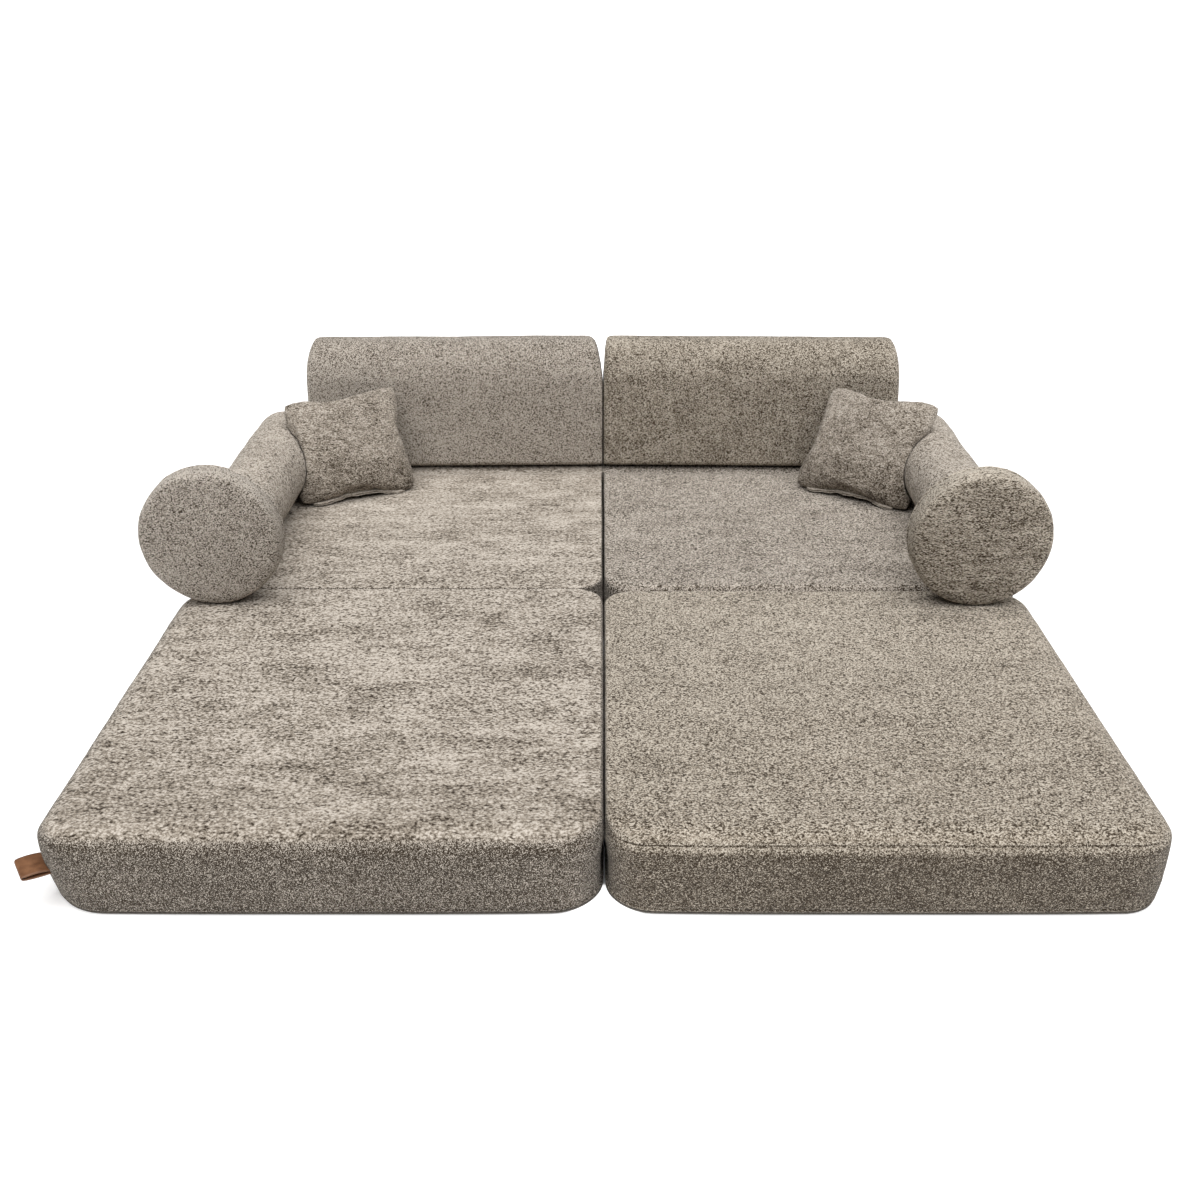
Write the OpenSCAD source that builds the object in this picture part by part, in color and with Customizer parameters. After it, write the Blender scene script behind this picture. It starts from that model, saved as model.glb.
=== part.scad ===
// Modular play sofa for children, laid out flat as a bed.
// Origin: on the floor where the centre seam crosses the fold line. +X right, +Y back, +Z up.
// Two columns of two square mats carry two backrests, two bolsters and two pillows.

/* [Mats] */
// Width of one mat, side to side
mat_w = 800; // [640:10:1000]
// Depth of one mat, front to back
mat_d = 800; // [700:10:1000]
// Height of a mat, floor to top
mat_h = 132; // [100:1:180]
// How far the soft shoulder reaches in from a free edge
shoulder_w = 60; // [30:1:66]
// How far the shoulder reaches in from an edge that meets another mat
seam_shoulder_w = 24; // [12:1:36]
// Height over which the shoulder falls
shoulder_h = 28; // [15:1:45]
// Plan radius of the corners that stand free, at the shoulder
corner_r = 62; // [50:1:90]
// How much rounder these corners are at the floor
foot_round = 18; // [0:1:40]
// How far the free sides draw in at the floor
foot_draw = 5; // [0:0.5:10]
// How far the sides that meet another mat draw in at the floor
seam_draw = 4; // [0:0.5:6]
// Plan radius of the corners at the fold line
fold_corner_r = 56; // [40:1:80]

/* [Fabric] */
// Thickness of the looped cover fabric
cover_t = 2.5; // [1.5:0.1:4]
// Thickness of the plain base panels
base_t = 4; // [3.6:0.1:6]
// Thickness of the cloth tape of the fold hinge
tape_t = 1.5; // [0.8:0.1:2]
// Width of one leaf of the hinge tape
tape_w = 38; // [20:1:60]

/* [Zips] */
// Width of the zip tapes
zip_w = 14; // [12:1:20]
// Thickness of the zip tapes
zip_t = 1.2; // [0.8:0.1:1.4]
// Distance from a cushion's edge to the middle of its zip
zip_inset = 46; // [40:1:70]
// Length of a zip slider with its puller
slider_l = 32; // [24:1:44]

/* [Backrests] */
// Length of one backrest
back_l = 682; // [480:2:700]
// Depth of a backrest at its foot
back_d = 144; // [136:1:180]
// Height of a backrest
back_h = 289; // [220:1:340]
// Distance that the front leans back over the whole height
back_lean = 22; // [0:1:28]
// Height of the rounded top of the front
back_round_h = 90; // [60:1:110]
// Reach of the rounded top of the front
back_round_d = 56; // [30:1:60]
// Height and reach of the rounded top of the outer ends
outer_round_h = 74; // [50:1:100]
outer_round_d = 19; // [6:1:28]
// Height and reach of the rounded top of the end beside the centre seam, left backrest
left_inner_round_h = 100; // [50:1:120]
left_inner_round_d = 25; // [6:1:30]
// The same, right backrest
right_inner_round_h = 60; // [50:1:120]
right_inner_round_d = 8; // [6:1:30]
// Plan radius of the backrest's corners
back_corner_r = 26; // [18:1:34]
// Angle at which the outer ends are turned forwards
back_toe = 1; // [0:0.1:2]

/* [Bolsters] */
// Radius of the roll
roll_r = 76; // [60:1:84]
// Distance from the mat's outer edge to the middle of the roll
roll_inset = 76; // [70:1:110]
// Radius of the round head
head_r = 130; // [110:1:145]
// Thickness of the head
head_t = 60; // [45:1:80]
// How far the left head sits outwards of its roll
head_shift_left = -9; // [-40:1:16]
// How far the right head sits outwards of its roll
head_shift_right = -30; // [-40:1:16]
// How far the head's front face swells
head_crown = 5; // [0:0.5:10]

/* [Pillows] */
// Size of a pillow from corner to corner
pillow_s = 246; // [200:2:280]
// How far each face swells
pillow_crown = 40; // [25:1:50]
// How far the middle of each side is drawn in
pillow_draw = 13; // [6:1:18]
// Angle at which the pillows lean back
pillow_lean = 30; // [15:1:35]
// Angle at which the left pillow turns towards the middle
pillow_yaw_left = 27; // [20:1:38]
// Angle at which the right pillow turns towards the middle
pillow_yaw_right = 34; // [20:1:38]

/* [Tab] */
// Length of the leather tab
tab_l = 36; // [24:1:44]
// Width of the leather tab
tab_w = 44; // [30:1:50]
// Thickness of the leather
tab_t = 1.8; // [1.2:0.1:2.4]
// Angle round the corner at which the tab is sewn
tab_angle = 32; // [15:1:60]
// Angle by which the tab rises
tab_rise = 4; // [-10:1:15]
// Height of the tab's middle above the floor
tab_z = 62; // [30:1:90]

/* [Hidden] */

fabric = [0.66, 0.62, 0.57];
fabric_shade = [0.52, 0.48, 0.43];
foam = [0.90, 0.86, 0.70];
base_grey = [0.25, 0.25, 0.26];
zip_grey = [0.45, 0.42, 0.38];
metal = [0.62, 0.62, 0.60];
leather = [0.62, 0.42, 0.27];

// Clearances
seat_gap = 0.3;     // between a soft piece and what it rests on
fit_gap = 0.3;      // between a cover and its foam
pair_gap = 0.3;     // between two mats side by side
edge_trim = 1;      // how far a base panel stays inside the cover's lower edge

// Facets of a plan corner: the foam takes every second point of the cover
cover_steps = 6;
foam_steps = 3;
wall_steps = 4;     // levels of a mat's side
shoulder_steps = 4; // levels of a mat's shoulder
round_fn = 72;
small_fn = 24;

rest_z = mat_h + seat_gap;

// One quarter of a rounded outline about (cx, cy), starting at angle a0
function arc(cx, cy, r, a0, steps) =
    [for (i = [0:steps]) [cx + r * cos(a0 + 90 * i / steps), cy + r * sin(a0 + 90 * i / steps)]];

// Rounded rectangle, with radii for the corners [-x-y, +x-y, +x+y, -x+y]
function outline(x0, x1, y0, y1, r, steps) = concat(
    arc(x0 + r[0], y0 + r[0], r[0], 180, steps),
    arc(x1 - r[1], y0 + r[1], r[1], 270, steps),
    arc(x1 - r[2], y1 - r[2], r[2], 0, steps),
    arc(x0 + r[3], y1 - r[3], r[3], 90, steps));

function lift(points, z) = [for (p = points) [p[0], p[1], z]];
function middle(ring) = [
    (min([for (p = ring) p[0]]) + max([for (p = ring) p[0]])) / 2,
    (min([for (p = ring) p[1]]) + max([for (p = ring) p[1]])) / 2,
    ring[0][2]];
function flat(lists) = [for (a = lists) for (b = a) b];

// Faces between ring k and ring k + 1, each of n points, the first point of all being number first
function band(k, n, first) = [for (i = [0:n - 1])
    let (a = first + k * n + i, b = first + k * n + (i + 1) % n)
    each [[a, a + n, b], [b, a + n, b + n]]];
function fan(k, n, first, tip) = [for (i = [0:n - 1])
    [first + k * n + i, tip, first + k * n + (i + 1) % n]];
function turned(faces) = [for (f = faces) [f[2], f[1], f[0]]];

// A closed solid through rings of equal count, from the bottom to the top
module loft(rings) {
    n = len(rings[0]);
    m = len(rings);
    points = concat(flat(rings), [middle(rings[0]), middle(rings[m - 1])]);
    polyhedron(points, concat(
        flat([for (k = [0:m - 2]) band(k, n, 0)]),
        fan(m - 1, n, 0, n * m + 1),
        turned(fan(0, n, 0, n * m))), convexity = 4);
}

// A cup that is open at the bottom: outer rings over inner rings
module cup(outer, inner) {
    n = len(outer[0]);
    m = len(outer);
    all = n * m;
    points = concat(flat(outer), flat(inner), [middle(outer[m - 1]), middle(inner[m - 1])]);
    polyhedron(points, concat(
        flat([for (k = [0:m - 2]) band(k, n, 0)]),
        fan(m - 1, n, 0, 2 * all),
        turned(flat([for (k = [0:m - 2]) band(k, n, all)])),
        turned(fan(m - 1, n, all, 2 * all + 1)),
        [for (i = [0:n - 1]) let (j = (i + 1) % n) each [[i, j, all + i], [j, all + j, all + i]]]),
        convexity = 4);
}

// Mats: the pattern is the right rear mat, with its seams on x = 0 and y = 0

mat_least_r = 8;
wall_top = mat_h - shoulder_h;
draw_share = 0.75;  // share of the wall's height over which the sides draw in
round_power = 1.3;  // how quickly the corners get rounder towards the floor
function wall_z(k) = base_t + (wall_top - base_t) * k / wall_steps;
function drawn(z) = pow(max(0, 1 - z / (draw_share * wall_top)), 2);
function corner_at(z) = corner_r + foot_round * pow(max(0, 1 - z / wall_top), round_power);

// The mat's outline at height z, moved inwards, and lifted to its own level
function mat_ring(free_in, seam_in, z, level, steps) =
    let (near = pair_gap / 2 + seam_in, mean_in = (free_in + seam_in) / 2)
    lift(outline(near, mat_w - free_in, near, mat_d - free_in,
        [for (r = [fold_corner_r - seam_in, fold_corner_r - mean_in, corner_at(z) - free_in,
              corner_at(z) - mean_in])
            max(r, mat_least_r)], steps), level);

function mat_rings(thick, foot_z, steps) = concat(
    [for (k = [0:wall_steps])
        let (z = wall_z(k))
        mat_ring(foot_draw * drawn(z) + thick, seam_draw * drawn(z) + thick, z,
            k == 0 ? foot_z : z - thick, steps)],
    [for (k = [1:shoulder_steps])
        let (a = 90 * k / shoulder_steps)
        mat_ring(thick + shoulder_w * (1 - cos(a)), thick + seam_shoulder_w * (1 - cos(a)), mat_h,
            mat_h - thick - shoulder_h * (1 - sin(a)), steps)]);

module mat_cover() {
    color(fabric) cup(mat_rings(0, base_t, cover_steps), mat_rings(cover_t, base_t, cover_steps));
}

module mat_foam() {
    color(foam) loft(mat_rings(cover_t + fit_gap, base_t, foam_steps));
}

mat_zip_l = mat_w - 2 * (corner_r + foot_round);
tape_l = mat_w - fold_corner_r - corner_r;

// Plain panel with a slot for the zip, and a step for the hinge tape
module mat_base() {
    color(base_grey) difference() {
        linear_extrude(base_t)
            polygon([for (p = mat_ring(foot_draw + edge_trim, seam_draw + edge_trim, 0, 0, cover_steps))
                [p[0], p[1]]]);
        translate([mat_w / 2, mat_d - zip_inset, base_t / 2])
            cube([mat_zip_l, zip_w, 2 * base_t], center = true);
        translate([fold_corner_r, -1, -1]) cube([tape_l, tape_w + 1, tape_t + 1]);
    }
}

module hinge_tape() {
    color(base_grey) translate([fold_corner_r, seat_gap, 0]) cube([tape_l, tape_w - seat_gap, tape_t]);
}

coil_w = 4;
coil_t = 0.7;
coil_short = 4;     // how far the coil stays inside the tape's ends
slider_t = 1.2;
slider_w = 9;
slider_nose_w = 6;
slider_body_l = 11.5;
slider_start = 6;   // distance from the zip's end to the slider
puller_w = 5;
eye_r = 1.3;

// Zip that lies in a base panel's slot, along X, its tape flush with the panel's upper face
module base_zip(length) {
    color(zip_grey) union() {
        translate([-length / 2, -zip_w / 2, base_t - zip_t]) cube([length, zip_w, zip_t]);
        translate([-length / 2 + coil_short, -coil_w / 2, base_t - zip_t - coil_t])
            cube([length - 2 * coil_short, coil_w, coil_t]);
    }
}

// Outline of a slider: a wedge-shaped body and a flat puller with an eye
module slider_outline() {
    tip = slider_l - puller_w / 2;
    difference() {
        union() {
            polygon([[0, -slider_nose_w / 2], [slider_body_l, -slider_w / 2],
                [slider_body_l, slider_w / 2], [0, slider_nose_w / 2]]);
            translate([slider_body_l / 2, -puller_w / 2]) square([tip - slider_body_l / 2, puller_w]);
            translate([tip, 0]) circle(r = puller_w / 2, $fn = small_fn);
        }
        translate([tip, 0]) circle(r = eye_r, $fn = small_fn);
    }
}

module base_slider(length) {
    color(metal) translate([-length / 2 + slider_start, 0, base_t - zip_t - coil_t - seat_gap - slider_t])
        linear_extrude(slider_t) slider_outline();
}

// A mat stands left or right of the centre seam, and behind or in front of the fold line
module at_mat(side, row) {
    if (side < 0 && row < 0) mirror([1, 0, 0]) mirror([0, 1, 0]) children();
    if (side < 0 && row > 0) mirror([1, 0, 0]) children();
    if (side > 0 && row < 0) mirror([0, 1, 0]) children();
    if (side > 0 && row > 0) children();
}

module at_mat_zip(side, row) {
    at_mat(side, row) translate([mat_w / 2, mat_d - zip_inset, 0]) children();
}

module left_rear_cover() { at_mat(-1, 1) mat_cover(); }
module left_front_cover() { at_mat(-1, -1) mat_cover(); }
module right_rear_cover() { at_mat(1, 1) mat_cover(); }
module right_front_cover() { at_mat(1, -1) mat_cover(); }
module left_rear_foam() { at_mat(-1, 1) mat_foam(); }
module left_front_foam() { at_mat(-1, -1) mat_foam(); }
module right_rear_foam() { at_mat(1, 1) mat_foam(); }
module right_front_foam() { at_mat(1, -1) mat_foam(); }
module left_rear_base() { at_mat(-1, 1) mat_base(); }
module left_front_base() { at_mat(-1, -1) mat_base(); }
module right_rear_base() { at_mat(1, 1) mat_base(); }
module right_front_base() { at_mat(1, -1) mat_base(); }
module left_rear_zip() { at_mat_zip(-1, 1) base_zip(mat_zip_l); }
module left_front_zip() { at_mat_zip(-1, -1) base_zip(mat_zip_l); }
module right_rear_zip() { at_mat_zip(1, 1) base_zip(mat_zip_l); }
module right_front_zip() { at_mat_zip(1, -1) base_zip(mat_zip_l); }
module left_rear_slider() { at_mat_zip(-1, 1) base_slider(mat_zip_l); }
module left_front_slider() { at_mat_zip(-1, -1) base_slider(mat_zip_l); }
module right_rear_slider() { at_mat_zip(1, 1) base_slider(mat_zip_l); }
module right_front_slider() { at_mat_zip(1, -1) base_slider(mat_zip_l); }
module left_rear_hinge_tape() { at_mat(-1, 1) hinge_tape(); }
module left_front_hinge_tape() { at_mat(-1, -1) hinge_tape(); }
module right_rear_hinge_tape() { at_mat(1, 1) hinge_tape(); }
module right_front_hinge_tape() { at_mat(1, -1) hinge_tape(); }

// Backrests: the pattern has x = 0 at the middle, y = 0 at the foot of the front, z = 0 at the seat

back_steps = 5;
back_wall_steps = 3;
back_swell = 3;
back_widest = 0.4;  // share of the height at which a backrest is widest
back_rear_round_h = 46;
back_rear_round_d = 32;
back_least_r = 6;
back_half = back_l / 2;

// Inward reach of a rounded edge of the given height and depth at height z
function rounding(z, top, h, d) =
    z <= top - h ? 0 : d * (1 - sqrt(max(0, 1 - pow((z - top + h) / h, 2))));
function back_in(z) = back_swell * pow(2 * (z / back_h - back_widest), 2);
function back_z(k) = k <= back_wall_steps
    ? base_t + (back_h - back_round_h - base_t) * k / back_wall_steps
    : back_h - back_round_h * (1 - sin(90 * (k - back_wall_steps) / back_steps));

function inner_round(side, z) = side < 0
    ? rounding(z, back_h, left_inner_round_h, left_inner_round_d)
    : rounding(z, back_h, right_inner_round_h, right_inner_round_d);

function back_ring(side, z, thick, low, steps) =
    let (in = back_in(z) + thick,
        inner = in + inner_round(side, z),
        outer = in + rounding(z, back_h, outer_round_h, outer_round_d),
        front = in + back_lean * z / back_h + rounding(z, back_h, back_round_h, back_round_d),
        rear = in + rounding(z, back_h, back_rear_round_h, back_rear_round_d),
        r = min(max(back_corner_r - thick, back_least_r), (back_d - front - rear) / 2 - edge_trim))
    lift(outline(-back_half + inner, back_half - outer, front, back_d - rear, [r, r, r, r], steps), low);

function back_rings(side, thick, foot_z, steps) = [for (k = [0:back_wall_steps + back_steps])
    back_ring(side, back_z(k), thick, k == 0 ? foot_z : back_z(k) - thick, steps)];

back_zip_l = back_l - 4 * back_corner_r;
back_zip_y = back_d - zip_inset;

module back_cover(side) {
    color(fabric_shade) cup(back_rings(side, 0, base_t, cover_steps),
        back_rings(side, cover_t, base_t, cover_steps));
}

module back_foam(side) {
    color(foam) loft(back_rings(side, cover_t + fit_gap, base_t, foam_steps));
}

module back_base() {
    color(base_grey) difference() {
        linear_extrude(base_t)
            polygon([for (p = back_ring(1, base_t, edge_trim, 0, cover_steps)) [p[0], p[1]]]);
        translate([0, back_zip_y, base_t / 2]) cube([back_zip_l, zip_w, 2 * base_t], center = true);
    }
}

// The front of the foot, at the backrest's inner end, close to the centre seam
back_front_y = mat_d - back_d - edge_trim;
back_inner_x = 1.8;

module at_back(side) {
    at_mat(side, 1) translate([back_inner_x, back_front_y, rest_z]) rotate([0, 0, -back_toe])
        translate([back_half, 0, 0]) children();
}

module left_back_cover() { at_back(-1) back_cover(-1); }
module right_back_cover() { at_back(1) back_cover(1); }
module left_back_foam() { at_back(-1) back_foam(-1); }
module right_back_foam() { at_back(1) back_foam(1); }
module left_back_base() { at_back(-1) back_base(); }
module right_back_base() { at_back(1) back_base(); }
module left_back_zip() { at_back(-1) translate([0, back_zip_y, 0]) base_zip(back_zip_l); }
module right_back_zip() { at_back(1) translate([0, back_zip_y, 0]) base_zip(back_zip_l); }
module left_back_slider() { at_back(-1) translate([0, back_zip_y, 0]) base_slider(back_zip_l); }
module right_back_slider() { at_back(1) translate([0, back_zip_y, 0]) base_slider(back_zip_l); }

// Bolsters: each part is turned about its axis and then laid along Y

head_rear_y = -16;
head_front_y = head_rear_y - head_t;
head_edge = 12;
// The roll ends just short of the backrest's outer end, which is turned forwards
roll_back_gap = 4;
roll_l = back_front_y - (back_l + back_inner_x) * sin(back_toe) - roll_back_gap - head_rear_y;
roll_edge = 22;
roll_neck = 8;      // how far the roll is drawn in where it meets the head
roll_neck_l = 50;

// Profile [radius, length] of the roll, moved inwards by a thickness, from its open end to the axis
function roll_profile(thick, start) = concat(
    [for (i = [0:4]) [roll_r - thick - roll_neck * pow(1 - i / 4, 2), i == 0 ? start : roll_neck_l * i / 4]],
    [for (i = [0:5]) let (a = 90 * i / 5)
        [roll_r - roll_edge + (roll_edge - thick) * cos(a),
         roll_l - roll_edge + (roll_edge - thick) * sin(a)]],
    [[0, roll_l - thick]]);

// Profile of the head from the middle of its front face round the rim to its open rear
function head_profile(thick, finish) = concat(
    [for (i = [0:4]) let (r = (head_r - head_edge) * i / 4)
        [r, thick - head_crown * (1 - pow(r / (head_r - head_edge), 2))]],
    [for (i = [1:4]) let (a = 90 * i / 4)
        [head_r - head_edge + (head_edge - thick) * sin(a), head_edge - (head_edge - thick) * cos(a)]],
    [for (i = [0:4]) let (a = 90 * i / 4)
        [head_r - head_edge + (head_edge - thick) * cos(a),
         i == 4 ? finish : head_t - head_edge + (head_edge - thick) * sin(a)]]);

function backwards(list) = [for (i = [len(list) - 1:-1:0]) list[i]];

module roll_cover() {
    color(fabric) rotate_extrude($fn = round_fn)
        polygon(concat(roll_profile(0, 0), backwards(roll_profile(cover_t, 0))));
}

module roll_foam() {
    color(foam) rotate_extrude($fn = round_fn)
        polygon(concat([[0, 0]], roll_profile(cover_t + fit_gap, 0)));
}

module head_cover() {
    color(fabric_shade) rotate_extrude($fn = round_fn)
        polygon(concat(head_profile(0, head_t), backwards(head_profile(cover_t, head_t - cover_t))));
}

module head_foam() {
    color(foam) rotate_extrude($fn = round_fn)
        polygon(concat(head_profile(cover_t + fit_gap, head_t - cover_t - fit_gap),
            [[0, head_t - cover_t - fit_gap]]));
}

module head_panel() {
    color(fabric) translate([0, 0, head_t - cover_t])
        cylinder(h = cover_t, r = head_r - head_edge - fit_gap, $fn = round_fn);
}

roll_x = mat_w - roll_inset;
roll_zip_from = 60; // distance from the head to the zip
roll_zip_rest = 30; // flat stretch beyond the zip, before the rounded end
roll_zip_l = roll_l - roll_zip_from - roll_edge - roll_zip_rest;
roll_zip_turn = 40; // how far below level the zip faces

module at_roll(side) {
    at_mat(side, 1) translate([roll_x, head_rear_y, rest_z + roll_r]) rotate([-90, 0, 0]) children();
}

module at_head(side) {
    shift = side < 0 ? head_shift_left : head_shift_right;
    at_mat(side, 1) translate([roll_x + shift, head_front_y, rest_z + head_r]) rotate([-90, 0, 0]) children();
}

// Along the roll, on its outer lower side
module at_roll_zip(side) {
    at_roll(side) rotate([0, 0, roll_zip_turn])
        translate([roll_r + seat_gap, 0, roll_zip_from + roll_zip_l / 2]) children();
}

module roll_zip() {
    color(zip_grey) union() {
        translate([0, -zip_w / 2, -roll_zip_l / 2]) cube([zip_t, zip_w, roll_zip_l]);
        translate([zip_t, -coil_w / 2, -roll_zip_l / 2 + coil_short])
            cube([coil_t, coil_w, roll_zip_l - 2 * coil_short]);
    }
}

module roll_slider() {
    color(metal) translate([zip_t + coil_t + seat_gap, 0, roll_zip_l / 2 - slider_start])
        rotate([0, 90, 0]) linear_extrude(2 * slider_t) slider_outline();
}

module left_roll_cover() { at_roll(-1) roll_cover(); }
module right_roll_cover() { at_roll(1) roll_cover(); }
module left_roll_foam() { at_roll(-1) roll_foam(); }
module right_roll_foam() { at_roll(1) roll_foam(); }
module left_roll_zip() { at_roll_zip(-1) roll_zip(); }
module right_roll_zip() { at_roll_zip(1) roll_zip(); }
module left_roll_slider() { at_roll_zip(-1) roll_slider(); }
module right_roll_slider() { at_roll_zip(1) roll_slider(); }
module left_head_cover() { at_head(-1) head_cover(); }
module right_head_cover() { at_head(1) head_cover(); }
module left_head_foam() { at_head(-1) head_foam(); }
module right_head_foam() { at_head(1) head_foam(); }
module left_head_panel() { at_head(-1) head_panel(); }
module right_head_panel() { at_head(1) head_panel(); }

// Pillows: x along the bottom edge, y up the face, z out of the front face

pillow_cells = 10;
pillow_fill_in = 1; // cells between the filling's edge and the seam
draw = pillow_draw / (pillow_s / 2);
seam_half = fit_gap / 2;
lip_w = 9;
lip_t = 2.4;
slit_t = 0.8;
slit_depth = 3;
lip_short = 24;     // how far each end of the lip stays inside the pillow's corner

// Grid place i on a scale that crowds towards the edges, from -1 to 1
function grid(i) = sin(90 * (2 * i / pillow_cells - 1));
function pillow_point(i, j, rise) =
    let (u = grid(i), v = grid(j))
    [pillow_s / 2 * u * (1 - draw * (1 - v * v)),
     pillow_s / 2 * v * (1 - draw * (1 - u * u)),
     rise + pillow_crown * sqrt((1 - u * u) * (1 - v * v))];

// Two faces over one grid cell, and the order of the points round the edge of a grid
function cell(i, j, n, first) = let (p = first + i * (n + 1) + j)
    [[p, p + 1, p + n + 2], [p, p + n + 2, p + n + 1]];
function rim(n) = concat(
    [for (j = [0:n - 1]) j],
    [for (i = [0:n - 1]) i * (n + 1) + n],
    [for (j = [n:-1:1]) n * (n + 1) + j],
    [for (i = [n:-1:1]) i * (n + 1)]);

// Solid between an upper grid of points and a lower one, each with n by n cells
module between(upper, lower, n) {
    count = (n + 1) * (n + 1);
    edge = rim(n);
    m = len(edge);
    polyhedron(concat(upper, lower), concat(
        flat([for (i = [0:n - 1]) for (j = [0:n - 1]) cell(i, j, n, 0)]),
        turned(flat([for (i = [0:n - 1]) for (j = [0:n - 1]) cell(i, j, n, count)])),
        [for (k = [0:m - 1]) let (a = edge[k], b = edge[(k + 1) % m])
            each [[a, count + a, b], [b, count + a, count + b]]]), convexity = 4);
}

module pillow_panel() {
    n = pillow_cells;
    color(fabric) between(
        [for (i = [0:n]) for (j = [0:n]) pillow_point(i, j, seam_half + cover_t)],
        [for (i = [0:n]) for (j = [0:n]) pillow_point(i, j, seam_half)], n);
}

module pillow_filling() {
    a = pillow_fill_in;
    b = pillow_cells - pillow_fill_in;
    high = [for (i = [a:b]) for (j = [a:b]) pillow_point(i, j, seam_half - fit_gap)];
    color(foam) between(high, [for (p = high) [p[0], p[1], -p[2]]], b - a);
}

// Lip under the seam: it follows the drawn-in edge above and is straight below
function lip_top(x) = let (u = x / (pillow_s / 2)) -pillow_s / 2 * (1 - draw * (1 - u * u)) - seat_gap;
lip_half = pillow_s / 2 - lip_short;
lip_low = lip_top(0) - lip_w;

module pillow_zip() {
    steps = 8;
    color(fabric_shade) difference() {
        linear_extrude(lip_t, center = true)
            polygon(concat([[-lip_half, lip_low], [lip_half, lip_low]],
                [for (i = [steps:-1:0]) let (x = lip_half * (2 * i / steps - 1)) [x, lip_top(x)]]));
        translate([0, lip_low, 0]) cube([3 * lip_half, 2 * slit_depth, slit_t], center = true);
    }
}

// A clip that runs along the lip, closed below and open above
clip_l = 11;
clip_t = 1.2;
clip_grip = 3;
clip_start = 30;    // distance from the lip's end to the clip, where the lip is deep enough

module pillow_slider() {
    inner = lip_t + 2 * seat_gap;
    color(metal) translate([-lip_half + clip_start, lip_low - seat_gap, 0]) difference() {
        translate([0, -clip_t, -inner / 2 - clip_t])
            cube([clip_l, clip_grip + clip_t, inner + 2 * clip_t]);
        translate([-1, 0, -inner / 2]) cube([clip_l + 2, clip_grip + 1, inner]);
    }
}

function pillow_yaw(side) = side < 0 ? pillow_yaw_left : pillow_yaw_right;
pillow_side_clear = 2; // between the roll and a straight line from corner to corner of the pillow
pillow_back_clear = 4; // between the seam's top inner corner and the backrest

// The outer edge leans over the roll: its bottom corner stands where the edge just clears the roll
function pillow_x(yaw) =
    let (slope = atan(tan(pillow_lean) * sin(yaw)),
        reach = roll_r * (1 + sin(slope)) + pillow_side_clear)
    roll_x - reach / cos(slope) - pillow_s / 2 * cos(yaw);
// The top inner corner just clears the backrest's leaning front
function pillow_y(yaw) =
    let (top_y = pillow_s * sin(pillow_lean),
        corner_x = pillow_x(yaw) - pillow_s / 2 * cos(yaw) + top_y * sin(yaw),
        front_y = back_front_y + back_lean * pillow_s * cos(pillow_lean) / back_h - corner_x * sin(back_toe))
    front_y - pillow_back_clear - pillow_s / 2 * sin(yaw) - top_y * cos(yaw);

module at_pillow(side) {
    yaw = pillow_yaw(side);
    at_mat(side, 1)
        translate([pillow_x(yaw), pillow_y(yaw), rest_z])
        rotate([0, 0, -yaw]) rotate([90 - pillow_lean, 0, 0])
        translate([0, pillow_s / 2 + (seam_half + cover_t) * tan(pillow_lean), 0]) children();
}

module left_pillow_front() { at_pillow(-1) pillow_panel(); }
module right_pillow_front() { at_pillow(1) pillow_panel(); }
module left_pillow_rear() { at_pillow(-1) mirror([0, 0, 1]) pillow_panel(); }
module right_pillow_rear() { at_pillow(1) mirror([0, 0, 1]) pillow_panel(); }
module left_pillow_filling() { at_pillow(-1) pillow_filling(); }
module right_pillow_filling() { at_pillow(1) pillow_filling(); }
module left_pillow_zip() { at_pillow(-1) pillow_zip(); }
module right_pillow_zip() { at_pillow(1) pillow_zip(); }
module left_pillow_slider() { at_pillow(-1) pillow_slider(); }
module right_pillow_slider() { at_pillow(1) pillow_slider(); }

// Leather tab: a strip folded to a flat loop, sewn into the left front mat's free corner

tab_half = 1.5 * tab_t; // two layers with one layer's room between

module leather_tab() {
    r = corner_at(tab_z);
    reach = r - foot_draw * drawn(tab_z) + tab_half + seat_gap;
    color(leather) at_mat(-1, -1)
        translate([mat_w - r, mat_d - r, tab_z])
        rotate([0, 0, tab_angle]) translate([reach, 0, 0]) rotate([90, -tab_rise, 0])
        linear_extrude(tab_w, center = true) difference() {
            union() {
                translate([0, -tab_half]) square([tab_l - tab_half, 2 * tab_half]);
                circle(r = tab_half, $fn = small_fn);
                translate([tab_l - tab_half, 0]) circle(r = tab_half, $fn = small_fn);
            }
            translate([tab_half, -tab_t / 2]) square([tab_l - 2 * tab_half, tab_t]);
            translate([tab_l - tab_half, 0]) circle(r = tab_t / 2, $fn = small_fn);
        }
}

left_rear_cover();
left_front_cover();
right_rear_cover();
right_front_cover();
left_rear_foam();
left_front_foam();
right_rear_foam();
right_front_foam();
left_rear_base();
left_front_base();
right_rear_base();
right_front_base();
left_rear_zip();
left_front_zip();
right_rear_zip();
right_front_zip();
left_rear_slider();
left_front_slider();
right_rear_slider();
right_front_slider();
left_rear_hinge_tape();
left_front_hinge_tape();
right_rear_hinge_tape();
right_front_hinge_tape();
left_back_cover();
right_back_cover();
left_back_foam();
right_back_foam();
left_back_base();
right_back_base();
left_back_zip();
right_back_zip();
left_back_slider();
right_back_slider();
left_roll_cover();
right_roll_cover();
left_roll_foam();
right_roll_foam();
left_roll_zip();
right_roll_zip();
left_roll_slider();
right_roll_slider();
left_head_cover();
right_head_cover();
left_head_foam();
right_head_foam();
left_head_panel();
right_head_panel();
left_pillow_front();
right_pillow_front();
left_pillow_rear();
right_pillow_rear();
left_pillow_filling();
right_pillow_filling();
left_pillow_zip();
right_pillow_zip();
left_pillow_slider();
right_pillow_slider();
leather_tab();
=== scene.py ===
import math

import bpy
import numpy as np
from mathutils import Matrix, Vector, noise


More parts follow.
